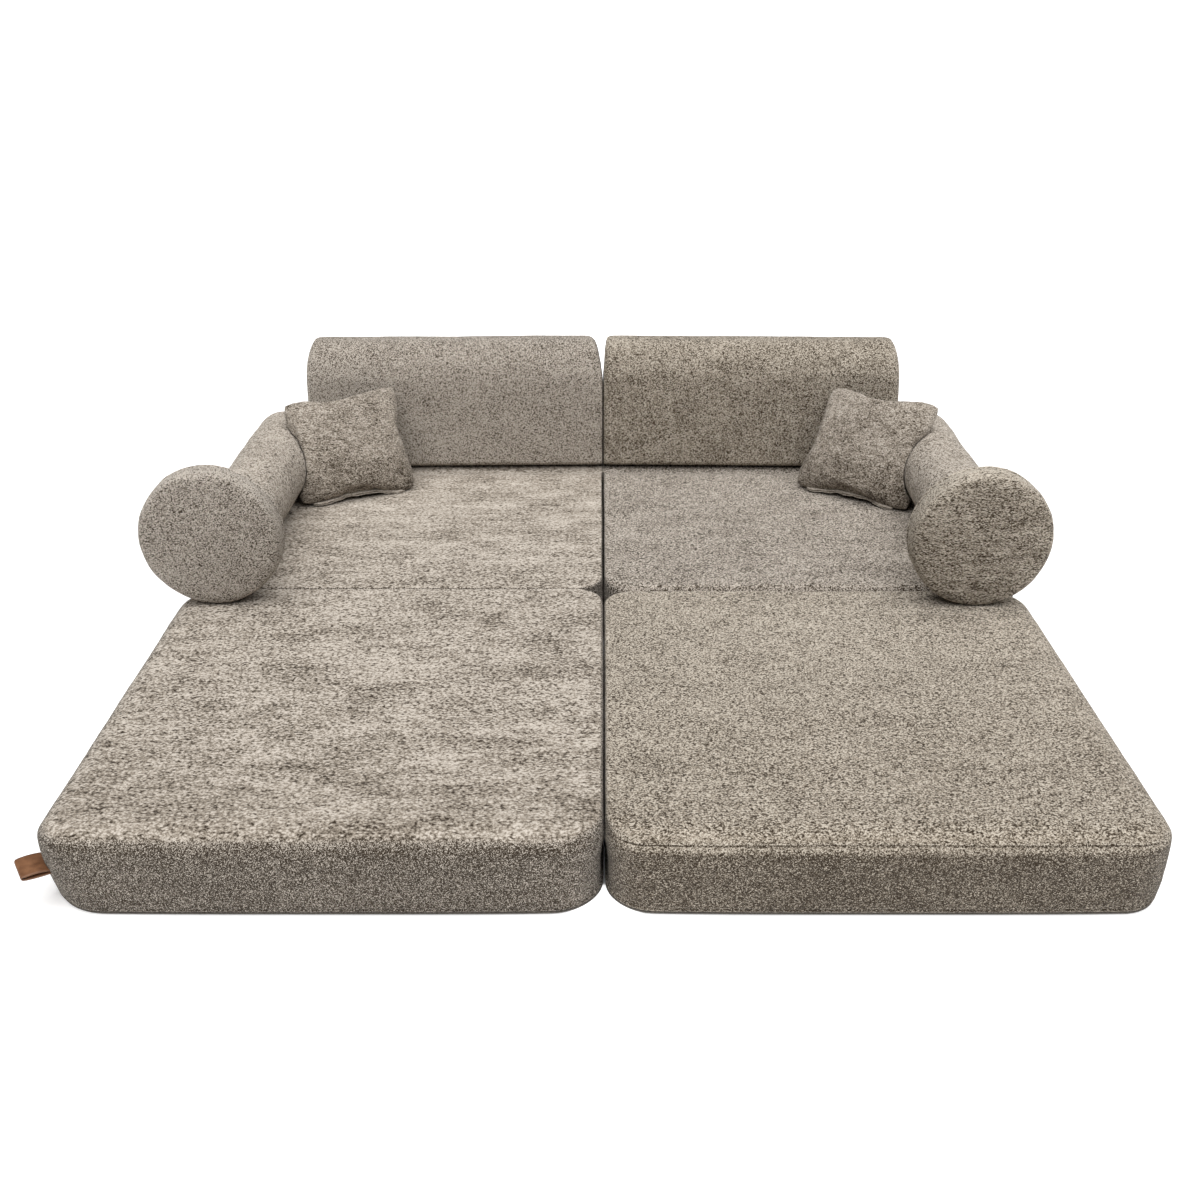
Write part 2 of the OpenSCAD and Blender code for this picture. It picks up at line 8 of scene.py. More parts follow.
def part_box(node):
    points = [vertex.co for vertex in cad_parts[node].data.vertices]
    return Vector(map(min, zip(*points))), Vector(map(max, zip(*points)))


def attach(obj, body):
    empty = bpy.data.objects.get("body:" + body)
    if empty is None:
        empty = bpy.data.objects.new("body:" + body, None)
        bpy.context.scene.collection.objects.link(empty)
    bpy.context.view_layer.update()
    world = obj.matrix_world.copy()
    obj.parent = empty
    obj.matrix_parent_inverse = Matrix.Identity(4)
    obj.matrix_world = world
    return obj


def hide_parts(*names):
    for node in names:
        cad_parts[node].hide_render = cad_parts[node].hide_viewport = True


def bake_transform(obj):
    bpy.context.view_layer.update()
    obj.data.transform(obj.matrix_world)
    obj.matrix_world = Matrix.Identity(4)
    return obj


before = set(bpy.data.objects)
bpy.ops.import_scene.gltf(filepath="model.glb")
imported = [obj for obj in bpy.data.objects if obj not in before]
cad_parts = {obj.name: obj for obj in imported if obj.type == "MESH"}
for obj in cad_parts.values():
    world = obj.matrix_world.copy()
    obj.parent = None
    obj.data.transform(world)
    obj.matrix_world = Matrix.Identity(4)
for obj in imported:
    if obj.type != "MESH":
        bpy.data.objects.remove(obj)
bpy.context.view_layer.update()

# Camera

CAMERA_AT = (-0.0054, -2.284, 1.217)
CAMERA_DOWN = 25.93
CAMERA_TURN = 0.03
CAMERA_LENS = 39.72


def make_camera():
    data = bpy.data.cameras.new("camera")
    data.lens = CAMERA_LENS
    data.sensor_width = 36.0
    data.sensor_fit = "HORIZONTAL"
    camera = bpy.data.objects.new("camera", data)
    camera.location = CAMERA_AT
    camera.rotation_euler = (math.radians(90 - CAMERA_DOWN), 0, math.radians(CAMERA_TURN))
    bpy.context.scene.collection.objects.link(camera)
    bpy.context.scene.camera = camera


make_camera()

# Measures in metres

SIDES = {"left": -1, "right": 1}
ROWS = {"rear": 1, "front": -1}
MAT_W = 0.800
MAT_TOP = 0.132
SEAM_Z = 0.1165  # height of the seam along the right front mat's front
MAT_ZIP_Y, MAT_ZIP_REACH = 0.754, 0.320
SEAT = MAT_TOP + 0.0003  # height at which everything on the mats stands
BACK_L, BACK_D, BACK_H = 0.682, 0.144, 0.289
BACK_FRONT = 0.655
BACK_INNER = 0.0018
BACK_TOE = math.radians(1.0)
BACK_LEAN = 0.022  # how far a backrest's front goes back over its height
BACK_ZIP_LENGTH = 0.578
ROLL_R, ROLL_X = 0.076, 0.724
ROLL_SHIFT = {"left": 0.0, "right": 0.003}
ROLL_END = 0.639
ROLL_ZIP_DOWN = math.radians(40)
HEAD_R = 0.130
HEAD_PLACE = {"left": (-0.7185, -0.0765), "right": (0.688, -0.084)}
PILLOW_W, PILLOW_L = 0.270, 0.248

# Shader maths


class Value:
    """A socket of a material that takes part in Python expressions."""

    def __init__(self, finish, socket):
        self.finish, self.socket = finish, socket

    def maths(self, operation, *terms):
        return self.finish.node("ShaderNodeMath", {"operation": operation}, dict(enumerate(terms)))

    def __add__(self, other):
        return self.maths("ADD", self, other)

    def __radd__(self, other):
        return self.maths("ADD", other, self)

    def __sub__(self, other):
        return self.maths("SUBTRACT", self, other)

    def __rsub__(self, other):
        return self.maths("SUBTRACT", other, self)

    def __mul__(self, other):
        return self.maths("MULTIPLY", self, other)

    def __rmul__(self, other):
        return self.maths("MULTIPLY", other, self)

    def __neg__(self):
        return self.maths("MULTIPLY", self, -1.0)

    def __abs__(self):
        return self.maths("ABSOLUTE", self)

    def at_least(self, other):
        return self.maths("MAXIMUM", self, other)

    def at_most(self, other):
        return self.maths("MINIMUM", self, other)

    def ramp(self, low, high, to_low=0.0, to_high=1.0):
        """Smooth step from to_low at low to to_high at high."""
        return self.finish.node("ShaderNodeMapRange", {"interpolation_type": "SMOOTHSTEP"},
                                {"Value": self, "From Min": low, "From Max": high,
                                 "To Min": to_low, "To Max": to_high})


class Finish:
    """One material: node() adds a node, shade() ends it with a Principled shader."""

    def __init__(self, name):
        self.material = bpy.data.materials.new(name)
        self.material.use_nodes = True
        self.tree = self.material.node_tree
        self.tree.nodes.clear()

    def node(self, kind, settings=None, inputs=None, output=0):
        made = self.tree.nodes.new(kind)
        for key, setting in (settings or {}).items():
            if key == "stops":
                ramp = made.color_ramp
                while len(ramp.elements) < len(setting):
                    ramp.elements.new(0.5)
                for element, (place, colour) in zip(ramp.elements, setting):
                    element.position = place
                    element.color = (*colour, 1.0)
            else:
                setattr(made, key, setting)
        for key, value in (inputs or {}).items():
            if isinstance(value, Value):
                self.tree.links.new(value.socket, made.inputs[key])
            else:
                socket = made.inputs[key]
                if socket.type == "RGBA" and len(value) == 3:
                    value = (*value, 1.0)
                socket.default_value = value
        return Value(self, made.outputs[output] if len(made.outputs) else None)

    def place(self, scale=(1.0, 1.0, 1.0)):
        """Object coordinates in metres, stretched along the axes."""
        at = self.node("ShaderNodeTexCoord", output="Object")
        if scale == (1.0, 1.0, 1.0):
            return at
        return self.vector("MULTIPLY", at, scale)

    def vector(self, operation, *terms):
        return self.node("ShaderNodeVectorMath", {"operation": operation}, dict(enumerate(terms)))

    def parts(self, vector):
        made = self.node("ShaderNodeSeparateXYZ", inputs={0: vector}).socket.node
        return [Value(self, socket) for socket in made.outputs]

    def noise(self, at, scale, detail=2.0, roughness=0.5, output="Fac"):
        return self.node("ShaderNodeTexNoise", None,
                         {"Vector": at, "Scale": scale, "Detail": detail, "Roughness": roughness}, output)

    def mix(self, factor, first, second):
        made = self.tree.nodes.new("ShaderNodeMix")
        made.data_type = "RGBA"
        for socket, value in ((made.inputs[0], factor), (made.inputs[6], first), (made.inputs[7], second)):
            if isinstance(value, Value):
                self.tree.links.new(value.socket, socket)
            else:
                socket.default_value = (*value, 1.0) if isinstance(value, tuple) else value
        return Value(self, made.outputs[2])

    def shade(self, colour, roughness, normal=None, **uniform):
        inputs = {"Base Color": colour, "Roughness": roughness}
        if normal is not None:
            inputs["Normal"] = normal
        for key, value in uniform.items():
            inputs[key.replace("_", " ")] = value
        shader = self.node("ShaderNodeBsdfPrincipled", None, inputs)
        self.node("ShaderNodeOutputMaterial", None, {"Surface": shader})
        return self.material

    def bump(self, height, strength, distance):
        return self.node("ShaderNodeBump", None,
                         {"Strength": strength, "Distance": distance, "Height": height})


def linear(*rgb):
    """Linear colour from the 0 to 255 values that a screen shows."""
    return tuple(round(((v / 255 + 0.055) / 1.055) ** 2.4, 4) for v in rgb)


# Materials

WARM_STOPS = [(0, linear(49, 39, 28)), (0.5, linear(139, 128.5, 114)), (1, linear(194, 184.5, 170.5))]
FABRIC_STOPS = [(0.0, linear(48, 39, 29)), (0.5, linear(138, 128, 115.5)), (1.0, linear(193, 184, 173))]
LOOP_SCALE = 260.0  # loops on a metre of cloth, before grain packs them closer


def loop_pile(f, at, grain):
    """Fleck of light and dark, and height, of a pile of small loops."""
    tuft_at = f.vector("MULTIPLY", at, grain)
    voronoi = f.node("ShaderNodeTexVoronoi", {"feature": "F1"}, {"Vector": tuft_at, "Scale": LOOP_SCALE},
                     "Distance")
    each = f.parts(Value(f, voronoi.socket.node.outputs["Color"]))[0]
    curls = f.noise(tuft_at, LOOP_SCALE * 0.9, 2.0, 0.7)
    tufts = 1.0 - voronoi.ramp(0.1, 0.75)
    gaps = f.noise(tuft_at, LOOP_SCALE * 0.55, 1.0, 0.5).ramp(0.30, 0.46, 1.0, 0.0)
    fleck = (curls - 0.5) * 3.0 + (each - 0.5) * 0.5 + (tufts - 0.5) * 0.5 - (gaps - 0.25) * 0.45
    return fleck, tufts * 0.6 + curls * 0.7


def chenille(name, grain=(1.3, 1.3, 1.3), side_grain=None, tone=0.0, side_tone=0.0, turn=(0.05, 0.95),
             contrast=1.0, side_contrast=None, patches=0.35, side_patches=1.0, mottling=1.0, streaks=0.2,
             streak_grain=(10.0, 90.0, 90.0), stops=FABRIC_STOPS, front_seam=0.0, painted_front_shade=0.0, rows=(),
             painted_low_shade=None, rings=(), ring_side=(0.45, 0.8)):
    """Looped greige fabric: tufts with dark gaps between them, nap patches and slubs.
    The tone of what faces up and of what faces sideways is set apart, as painted light and shade of
    the overhead light, and the two change over within turn. rows shift tone and contrast along Y,
    painted_front_shade darkens what faces the front as painted shade, front_seam darkens the seam there,
    painted_low_shade darkens towards a lower height as painted shade, and rings are dark sewn lines
    across the Y axis."""
    f = Finish(name)
    at = f.place()
    _, y, z = f.parts(at)
    facing = f.parts(f.node("ShaderNodeTexCoord", output="Normal"))
    up = abs(facing[2])

    warp = f.vector("SUBTRACT", f.noise(at, 70.0, 1.0, output="Color"), (0.5, 0.5, 0.5))
    bent = f.vector("ADD", at, f.vector("MULTIPLY", warp, (0.005, 0.005, 0.005)))
    fleck, height = loop_pile(f, bent, grain)
    flat = up.ramp(0.72, 0.97)
    if side_grain:
        side_fleck, side_height = loop_pile(f, bent, side_grain)
        fleck = side_fleck + (fleck - side_fleck) * flat
        height = side_height + (height - side_height) * flat

    cloud = f.noise(f.vector("MULTIPLY", bent, (1.0, 1.9, 1.9)), 9.0, 3.0, 0.65) - 0.5
    mottle = f.noise(f.vector("MULTIPLY", bent, (1.0, 1.5, 1.5)), 36.0, 3.0, 0.6) - 0.5
    slub = f.noise(f.vector("MULTIPLY", bent, streak_grain), 1.0, 2.0, 0.6) - 0.5
    bite = 0.5 * contrast
    if side_contrast:
        bite = flat * (0.5 * (contrast - side_contrast)) + 0.5 * side_contrast
    along = 0.0
    for from_y, to_y, tone_from, tone_to, bite_from, bite_to in rows:
        along = y.ramp(from_y, to_y, tone_from, tone_to) + along
        bite = y.ramp(from_y, to_y, bite_from, bite_to) * bite
    patched = flat * (patches - patches * side_patches) + patches * side_patches
    # painted light and shade: the up.ramp term gives what faces up and what faces sideways their own tones
    level = (0.5 + fleck * bite + slub * streaks * 1.6 + (cloud + mottle * mottling) * patched
             + up.ramp(turn[0], turn[1]) * (tone - side_tone) + side_tone)
    if rows:
        level = level + along
    # painted shade: what faces the front is painted darker
    if painted_front_shade:
        level = level - (-facing[1]).ramp(0.55, 0.85) * painted_front_shade
    if front_seam:
        on_front = (-facing[1]).ramp(0.5, 0.9)
        line = abs(z - SEAM_Z).ramp(0.0007, 0.0018, 1.0, 0.0)
        level = level - line * on_front * front_seam
    # painted shade: darker towards a lower height, a painted shadow at a backrest's foot and under a pillow's
    # crown
    if painted_low_shade:
        level = level - z.ramp(painted_low_shade[0], painted_low_shade[1], painted_low_shade[2], 0.0)
    for place, half, depth in rings:
        level = level - abs(y - place).ramp(half * 0.4, half, depth, 0.0) * abs(facing[0]).ramp(*ring_side)
    colour = f.node("ShaderNodeValToRGB", {"stops": stops}, {"Fac": level}, "Color")
    return f.shade(colour, 0.93, f.bump(height, 0.7, 0.0026), Sheen_Weight=0.15, Sheen_Roughness=0.5,
                   Sheen_Tint=(0.9, 0.88, 0.84, 1.0), Specular_IOR_Level=0.12)


def woven(name, light, dark, threads=900.0):
    """Plain woven cloth with fine crossing threads."""
    f = Finish(name)
    x, y, z = f.parts(f.place((threads, threads, threads)))
    weave = (x.maths("SINE", x + z) * 0.5 + y.maths("SINE", y + z) * 0.5)
    worn = f.noise(f.place(), 40.0, 3.0) - 0.5
    level = (weave * 0.3 + 0.5 + worn * 0.8).at_least(0.0).at_most(1.0)
    return f.shade(f.mix(level, dark, light), 0.9, f.bump(weave, 0.4, 0.0006), Sheen_Weight=0.15)


def leather(name):
    """Tan leather with pores and soft mottling."""
    f = Finish(name)
    at = f.place()
    mottle = f.noise(at, 90.0, 4.0, 0.6)
    pores = f.node("ShaderNodeTexVoronoi", {"feature": "F1"}, {"Vector": at, "Scale": 1500.0}, "Distance")
    pore = pores.ramp(0.05, 0.35)
    colour = f.mix((mottle - 0.5) * 1.6 + 0.5, linear(84, 52, 31), linear(132, 92, 62))
    return f.shade(colour, 0.48 + (mottle - 0.5) * 0.3, f.bump(pore * 0.5 + mottle, 0.35, 0.0005),
                   Specular_IOR_Level=0.4)


def metal(name):
    """Satin die-cast metal with fine handling marks."""
    f = Finish(name)
    grain = f.noise(f.place((60.0, 900.0, 900.0)), 1.0, 3.0)
    colour = f.mix(grain, (0.42, 0.41, 0.39), (0.66, 0.65, 0.62))
    return f.shade(colour, 0.32 + grain * 0.2, f.bump(grain, 0.15, 0.0002), Metallic=1.0)


def nylon(name):
    """Grey-brown moulded nylon of the zip teeth, with a faint mottle."""
    f = Finish(name)
    mottle = f.noise(f.place(), 400.0, 2.0)
    colour = f.mix(mottle, linear(84, 76, 68), linear(122, 112, 102))
    return f.shade(colour, 0.35 + mottle * 0.2, f.bump(mottle, 0.2, 0.0002), Specular_IOR_Level=0.45)


def plain_floor():
    """White floor with a faint glow round the sofa, which fills its soft shadow there.
    The glow starts under the mats' edges and is stronger between their corners at the centre seam."""
    f = Finish("studio_floor")
    x, y, _ = f.parts(f.place())
    beside = abs(x).ramp(0.775, 0.800).at_least(abs(y).ramp(0.735, 0.760))
    notch = abs(y).ramp(0.726, 0.734) * abs(x).ramp(0.035, 0.060, 1.0, 0.0)
    glow = f.mix(notch, f.mix(beside, (0.0, 0.0, 0.0), (1.0, 1.0, 1.0)), (3.0, 3.0, 3.0))
    return f.shade((0.86, 0.86, 0.86), 0.9, Emission_Color=glow, Emission_Strength=0.3)


# Mesh helpers


def make_piece(name, points, faces, material, body, nodes=()):
    mesh = bpy.data.meshes.new(name)
    mesh.from_pydata([tuple(p) for p in points], [], [tuple(int(i) for i in f) for f in faces])
    mesh.polygons.foreach_set("use_smooth", [True] * len(mesh.polygons))
    mesh.materials.append(material)
    piece = bpy.data.objects.new(name, mesh)
    bpy.context.scene.collection.objects.link(piece)
    if body:
        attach(piece, body)
    if nodes:
        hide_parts(*nodes)
    return piece


def rounded_loop(x0, x1, y0, y1, radii, nx, ny):
    """Closed loop round a rectangle with its own radius at each corner, 2 (nx + ny) points,
    starting at the middle of the corner (x0, y0). The corners are [x0y0, x1y0, x1y1, x0y1]."""
    centres = [(x0 + radii[0], y0 + radii[0]), (x1 - radii[1], y0 + radii[1]),
               (x1 - radii[2], y1 - radii[2]), (x0 + radii[3], y1 - radii[3])]
    out = []
    for side, count in enumerate((nx, ny, nx, ny)):
        a, b = side, (side + 1) % 4
        turn = np.radians(180 + 90 * side)
        first = turn + np.radians(np.linspace(45, 90, 10))
        last = turn + np.radians(np.linspace(90, 135, 10))
        path = np.vstack([
            np.c_[centres[a][0] + radii[a] * np.cos(first), centres[a][1] + radii[a] * np.sin(first)],
            np.c_[centres[b][0] + radii[b] * np.cos(last), centres[b][1] + radii[b] * np.sin(last)]])
        far = np.r_[0, np.cumsum(np.hypot(*np.diff(path, axis=0).T))]
        want = np.linspace(0, far[-1], count + 1)[:-1]
        out.append(np.c_[np.interp(want, far, path[:, 0]), np.interp(want, far, path[:, 1])])
    return np.vstack(out)


def circle_loop(radius, n):
    turn = np.radians(225) + np.arange(4 * n) * math.tau / (4 * n)
    return np.c_[radius * np.cos(turn), radius * np.sin(turn)]


def fill_grid(loop, nx, ny):
    """Points of a grid that fills a closed loop, as an array (nx + 1, ny + 1, 3)."""
    closed = np.vstack([loop, loop[:1]])
    bottom = closed[:nx + 1]
    right = closed[nx:nx + ny + 1]
    top = closed[nx + ny:2 * nx + ny + 1][::-1]
    left = closed[2 * nx + ny:][::-1]
    u = np.linspace(0, 1, nx + 1)[:, None, None]
    v = np.linspace(0, 1, ny + 1)[None, :, None]
    corners = ((1 - u) * (1 - v) * bottom[0] + u * (1 - v) * bottom[-1]
               + (1 - u) * v * top[0] + u * v * top[-1])
    return (1 - v) * bottom[:, None] + v * top[:, None] + (1 - u) * left[None] + u * right[None] - corners


def stack(loops, nx, ny):
    """Closed skin over a stack of loops, with a filled grid at the bottom and the top."""
    count = 2 * (nx + ny)
    points = [np.asarray(loops).reshape(-1, 3)]
    faces = []
    for level in range(len(loops) - 1):
        for i in range(count):
            a, b = level * count + i, level * count + (i + 1) % count
            faces.append((a, b, b + count, a + count))
    total = count * len(loops)
    rim_place = {}
    for i in range(count):
        if i <= nx:
            rim_place[(i, 0)] = i
        if nx <= i <= nx + ny:
            rim_place[(nx, i - nx)] = i
        if nx + ny <= i <= 2 * nx + ny:
            rim_place[(2 * nx + ny - i, ny)] = i
        if i >= 2 * nx + ny:
            rim_place[(0, count - i)] = i
    for level, flip in ((0, True), (len(loops) - 1, False)):
        grid = fill_grid(np.asarray(loops[level]), nx, ny)
        inner = grid[1:-1, 1:-1].reshape(-1, 3)
        points.append(inner)
        index = np.zeros((nx + 1, ny + 1), int)
        for (i, j), k in rim_place.items():
            index[i, j] = level * count + k
        index[1:-1, 1:-1] = total + np.arange(len(inner)).reshape(nx - 1, ny - 1)
        total += len(inner)
        for i in range(nx):
            for j in range(ny):
                face = (index[i, j], index[i + 1, j], index[i + 1, j + 1], index[i, j + 1])
                faces.append(face[::-1] if flip else face)
    return np.vstack(points), faces


def turned(profile, n):
    """Closed skin of a round form about the Y axis, through (radius, y) pairs."""
    rings = []
    for radius, y in profile:
        flat = circle_loop(radius, n)
        rings.append(np.c_[flat[:, 0], np.full(len(flat), y), -flat[:, 1]])
    return stack(rings, n, n)


def vertex_values(mesh, kind):
    got = np.empty(len(mesh.vertices) * 3)
    mesh.vertices.foreach_get(kind, got)
    return got.reshape(-1, 3)


def mesh_points(piece):
    return vertex_values(piece.data, "co")


def mesh_normals(piece):
    return vertex_values(piece.data, "normal")


def set_points(piece, points):
    piece.data.vertices.foreach_set("co", np.ascontiguousarray(points).ravel())
    piece.data.update()


def waves(points, scale, octaves=3, shift=0.0):
    """Soft noise at each point, about -1 to 1."""
    return np.array([noise.fractal(Vector(p) * scale + Vector((shift, shift, shift)), 0.9, 2.0, octaves)
                     for p in points])


def smooth(value, low, high):
    t = np.clip((value - low) / (high - low), 0, 1)
    return t * t * (3 - 2 * t)


def rounding(z, top, deep, high):
    """How far a rounded top edge of this depth and height stands back at z."""
    t = max(0.0, z - (top - high)) / high
    return deep * (1 - math.sqrt(max(0.0, 1 - t * t)))


def mirrored(points, faces, sx, sy):
    points = points * [sx, sy, 1]
    if sx * sy < 0:
        faces = [f[::-1] for f in faces]
    return points, faces


# Mats

MAT_SHOULDER = {"rear": 0.060, "front": 0.050}  # how far the soft shoulder reaches in
PAIR_GAP = 0.00003  # from each cover to the plane between it and its neighbour
MAT_CELLS = 90
WALL_TOP = 0.104
CORNER_RADII = (0.056, 0.056, 0.062, 0.062)
# how much rounder each mat's free corner and centre seam corner are at the floor than at the shoulder
FOOT_ROUND = {"left_rear": (0.018, 0.018), "right_rear": (0.018, 0.018),
              "left_front": (0.034, 0.016), "right_front": (0.004, 0.011)}


def level_loop(free, seam, fold, z, mat):
    """One loop of a mat, drawn as the right rear one; its corners are [crossing, fold, free, seam]."""
    low = max(0.0, 1 - z / WALL_TOP) ** 1.3
    at_free, at_seam = FOOT_ROUND[mat]
    extra = (0.0, at_free * 0.4 * low, at_free * low, at_seam * low)
    insets = (seam, (free + fold) / 2, free, (free + seam) / 2)
    r = [max(radius + more - inset, 0.012) for radius, more, inset in zip(CORNER_RADII, extra, insets)]
    flat = rounded_loop(PAIR_GAP + seam, MAT_W - free, PAIR_GAP + fold, MAT_W - free, r,
                        MAT_CELLS, MAT_CELLS)
    return np.c_[flat, np.full(len(flat), z)]


def wall_inset(z, mat):
    """How far a mat's side stands inside its widest line: at free sides, the centre seam and the fold."""
    low = max(0.0, 1 - z / (0.75 * WALL_TOP)) ** 2
    hollow = float(smooth(0.102 - z, 0.0, 0.040))
    if mat.endswith("front"):           # touches its pair at the foot and under the top edge
        seam = 0.0050 * hollow * float(smooth(z, 0.004, 0.020)) + 0.0012 * float(smooth(z, 0.106, 0.112))
        seam += rounding(z, MAT_TOP, 0.0070 if mat.startswith("left") else 0.0045, 0.010)
    else:
        seam = 0.0020 * float(smooth(z, 0.098, 0.104)) + rounding(z, MAT_TOP, 0.0040, 0.006)
    # the two left covers meet almost flush along the fold
    edge = (0.006, 0.006) if mat.startswith("left") else (0.018, 0.022)
    return 0.004 * low, seam, 0.0042 * hollow + rounding(z, MAT_TOP, *edge)


def bowed(points, mat):
    """The front mats' front walls stand a little proud between their corners."""
    if mat.endswith("front"):
        level = smooth(points[:, 2], -0.02, 0.012) * (1 - smooth(points[:, 2], 0.085, 0.130))
        middle = np.clip(1 - ((points[:, 0] - 0.41) / 0.39) ** 4, 0, 1)
        points[:, 1] += 0.0052 * level * middle * smooth(points[:, 1], 0.55, 0.78)
    return points


def mat_levels(shoulder, mat):
    """Loops of a mat's cover, from under its lower edge to its top."""
    z_foot = 0.0042
    shoulder_h = MAT_TOP - WALL_TOP
    loops = []
    for inset, z in ((0.040, z_foot), (0.018, z_foot), (0.0045, z_foot + 0.0003), (0.0015, 0.0062),
                     (0.0002, 0.0088), (0.0, 0.0108), (0.0014, 0.0126), (0.0, 0.0144)):
        free, seam, fold = wall_inset(z, mat)
        loops.append(level_loop(free + inset, seam + inset, fold + inset, z, mat))
    for z in np.linspace(0.018, WALL_TOP, 14):
        loops.append(level_loop(*wall_inset(z, mat), z, mat))
    turns = list(np.linspace(0, 90, 19)[1:])
    if mat == "right_front":            # close loops, for the groove of its sewn seam
        turns += [math.degrees(math.asin((SEAM_Z + d - WALL_TOP) / shoulder_h))
                  for d in (-0.0014, -0.0007, 0, 0.0007, 0.0014)]
    for turn in sorted(turns):
        a = math.radians(turn)
        z = WALL_TOP + shoulder_h * math.sin(a)
        loops.append(level_loop(shoulder * (1 - math.cos(a)), *wall_inset(z, mat)[1:], z, mat))
    return loops


def make_mat(side, row, material, seed):
    """A mat's cover over its foam, with the small lumps of its padding."""
    sx, sy = SIDES[side], ROWS[row]
    name = f"{side}_{row}"
    points, faces = stack(mat_levels(MAT_SHOULDER[row], name), MAT_CELLS, MAT_CELLS)
    points, faces = mirrored(bowed(points, name), faces, sx, sy)
    piece = make_piece(f"{name}_mat_cushion", points, faces, material, f"{name}_mat",
                       (f"{name}_cover", f"{name}_foam"))
    normal = mesh_normals(piece)
    above = smooth(points[:, 2], 0.100, 0.131)
    wall = smooth(points[:, 2], 0.010, 0.030) * (1 - above)
    lump = waves(points, 5.0, 2, seed) * 0.0009 * above + waves(points, 14.0, 3, seed + 5) * 0.0011 * wall
    fine = waves(points, 55.0, 2, seed + 9) * 0.00035 * smooth(points[:, 2], 0.006, 0.012)
    points = points + normal * (lump + fine)[:, None]
    if name == "right_front":
        sewn = np.exp(-((points[:, 2] - SEAM_Z) / 0.0010) ** 2) * smooth(-normal[:, 1], 0.55, 0.80)
        points -= normal * (0.0016 * sewn)[:, None]
    points[:, 2] = np.minimum(points[:, 2], MAT_TOP + 0.0012)
    if row == "rear":                   # the backrest's lower edge presses a shallow furrow
        from_seam = abs(points[:, 0])
        from_edge = points[:, 1] - BACK_FRONT + from_seam * math.sin(BACK_TOE) + 0.004
        furrow = 0.0080 * np.exp(-(from_edge / 0.020) ** 2) * (1 - smooth(from_seam, 0.65, 0.69))
        points[:, 2] -= furrow * smooth(points[:, 2], 0.115, 0.131)
        # and it holds the two covers together, so that the groove of the centre seam ends in front of it
        held = smooth(points[:, 1], BACK_FRONT - 0.016, BACK_FRONT - 0.002)
        points[:, 0] *= 1 - held * (1 - smooth(from_seam, 0.0065, 0.0120))
    points[:, 0] = sx * np.maximum(sx * points[:, 0], PAIR_GAP)
    points[:, 1] = sy * np.maximum(sy * points[:, 1], PAIR_GAP)
    set_points(piece, points)


def make_base(side, row, material):
    """Plain panel under a mat, sewn in with a rolled edge, with the opening for the zip."""
    sx, sy = SIDES[side], ROWS[row]
    name = f"{side}_{row}"
    loops = []
    for inset, z in ((0.0045, 0.0002), (0.0022, 0.0006), (0.0012, 0.0020), (0.0016, 0.0036),
                     (0.0045, 0.0041)):
        free, seam, fold = wall_inset(z, name)
        loops.append(level_loop(free + inset, seam + inset, fold + inset, z, name))
    points, faces = stack(loops, MAT_CELLS, MAT_CELLS)
    points = bowed(points, name)
    low = points[:, 2] < 0.0003
    from_zip = abs(points[:, 0] - MAT_W / 2)
    inside_zip = (abs(points[:, 1] - MAT_ZIP_Y) < 0.011) & (from_zip < MAT_ZIP_REACH + 0.004) & low
    points[inside_zip, 2] = 0.0019
    under_tape = (points[:, 1] < 0.040) & (points[:, 1] > 0.008) & low
    points[under_tape, 2] = 0.0016
    points, faces = mirrored(points, faces, sx, sy)
    make_piece(f"{name}_base_panel", points, faces, material, f"{name}_mat", (f"{name}_base",))


# Backrests


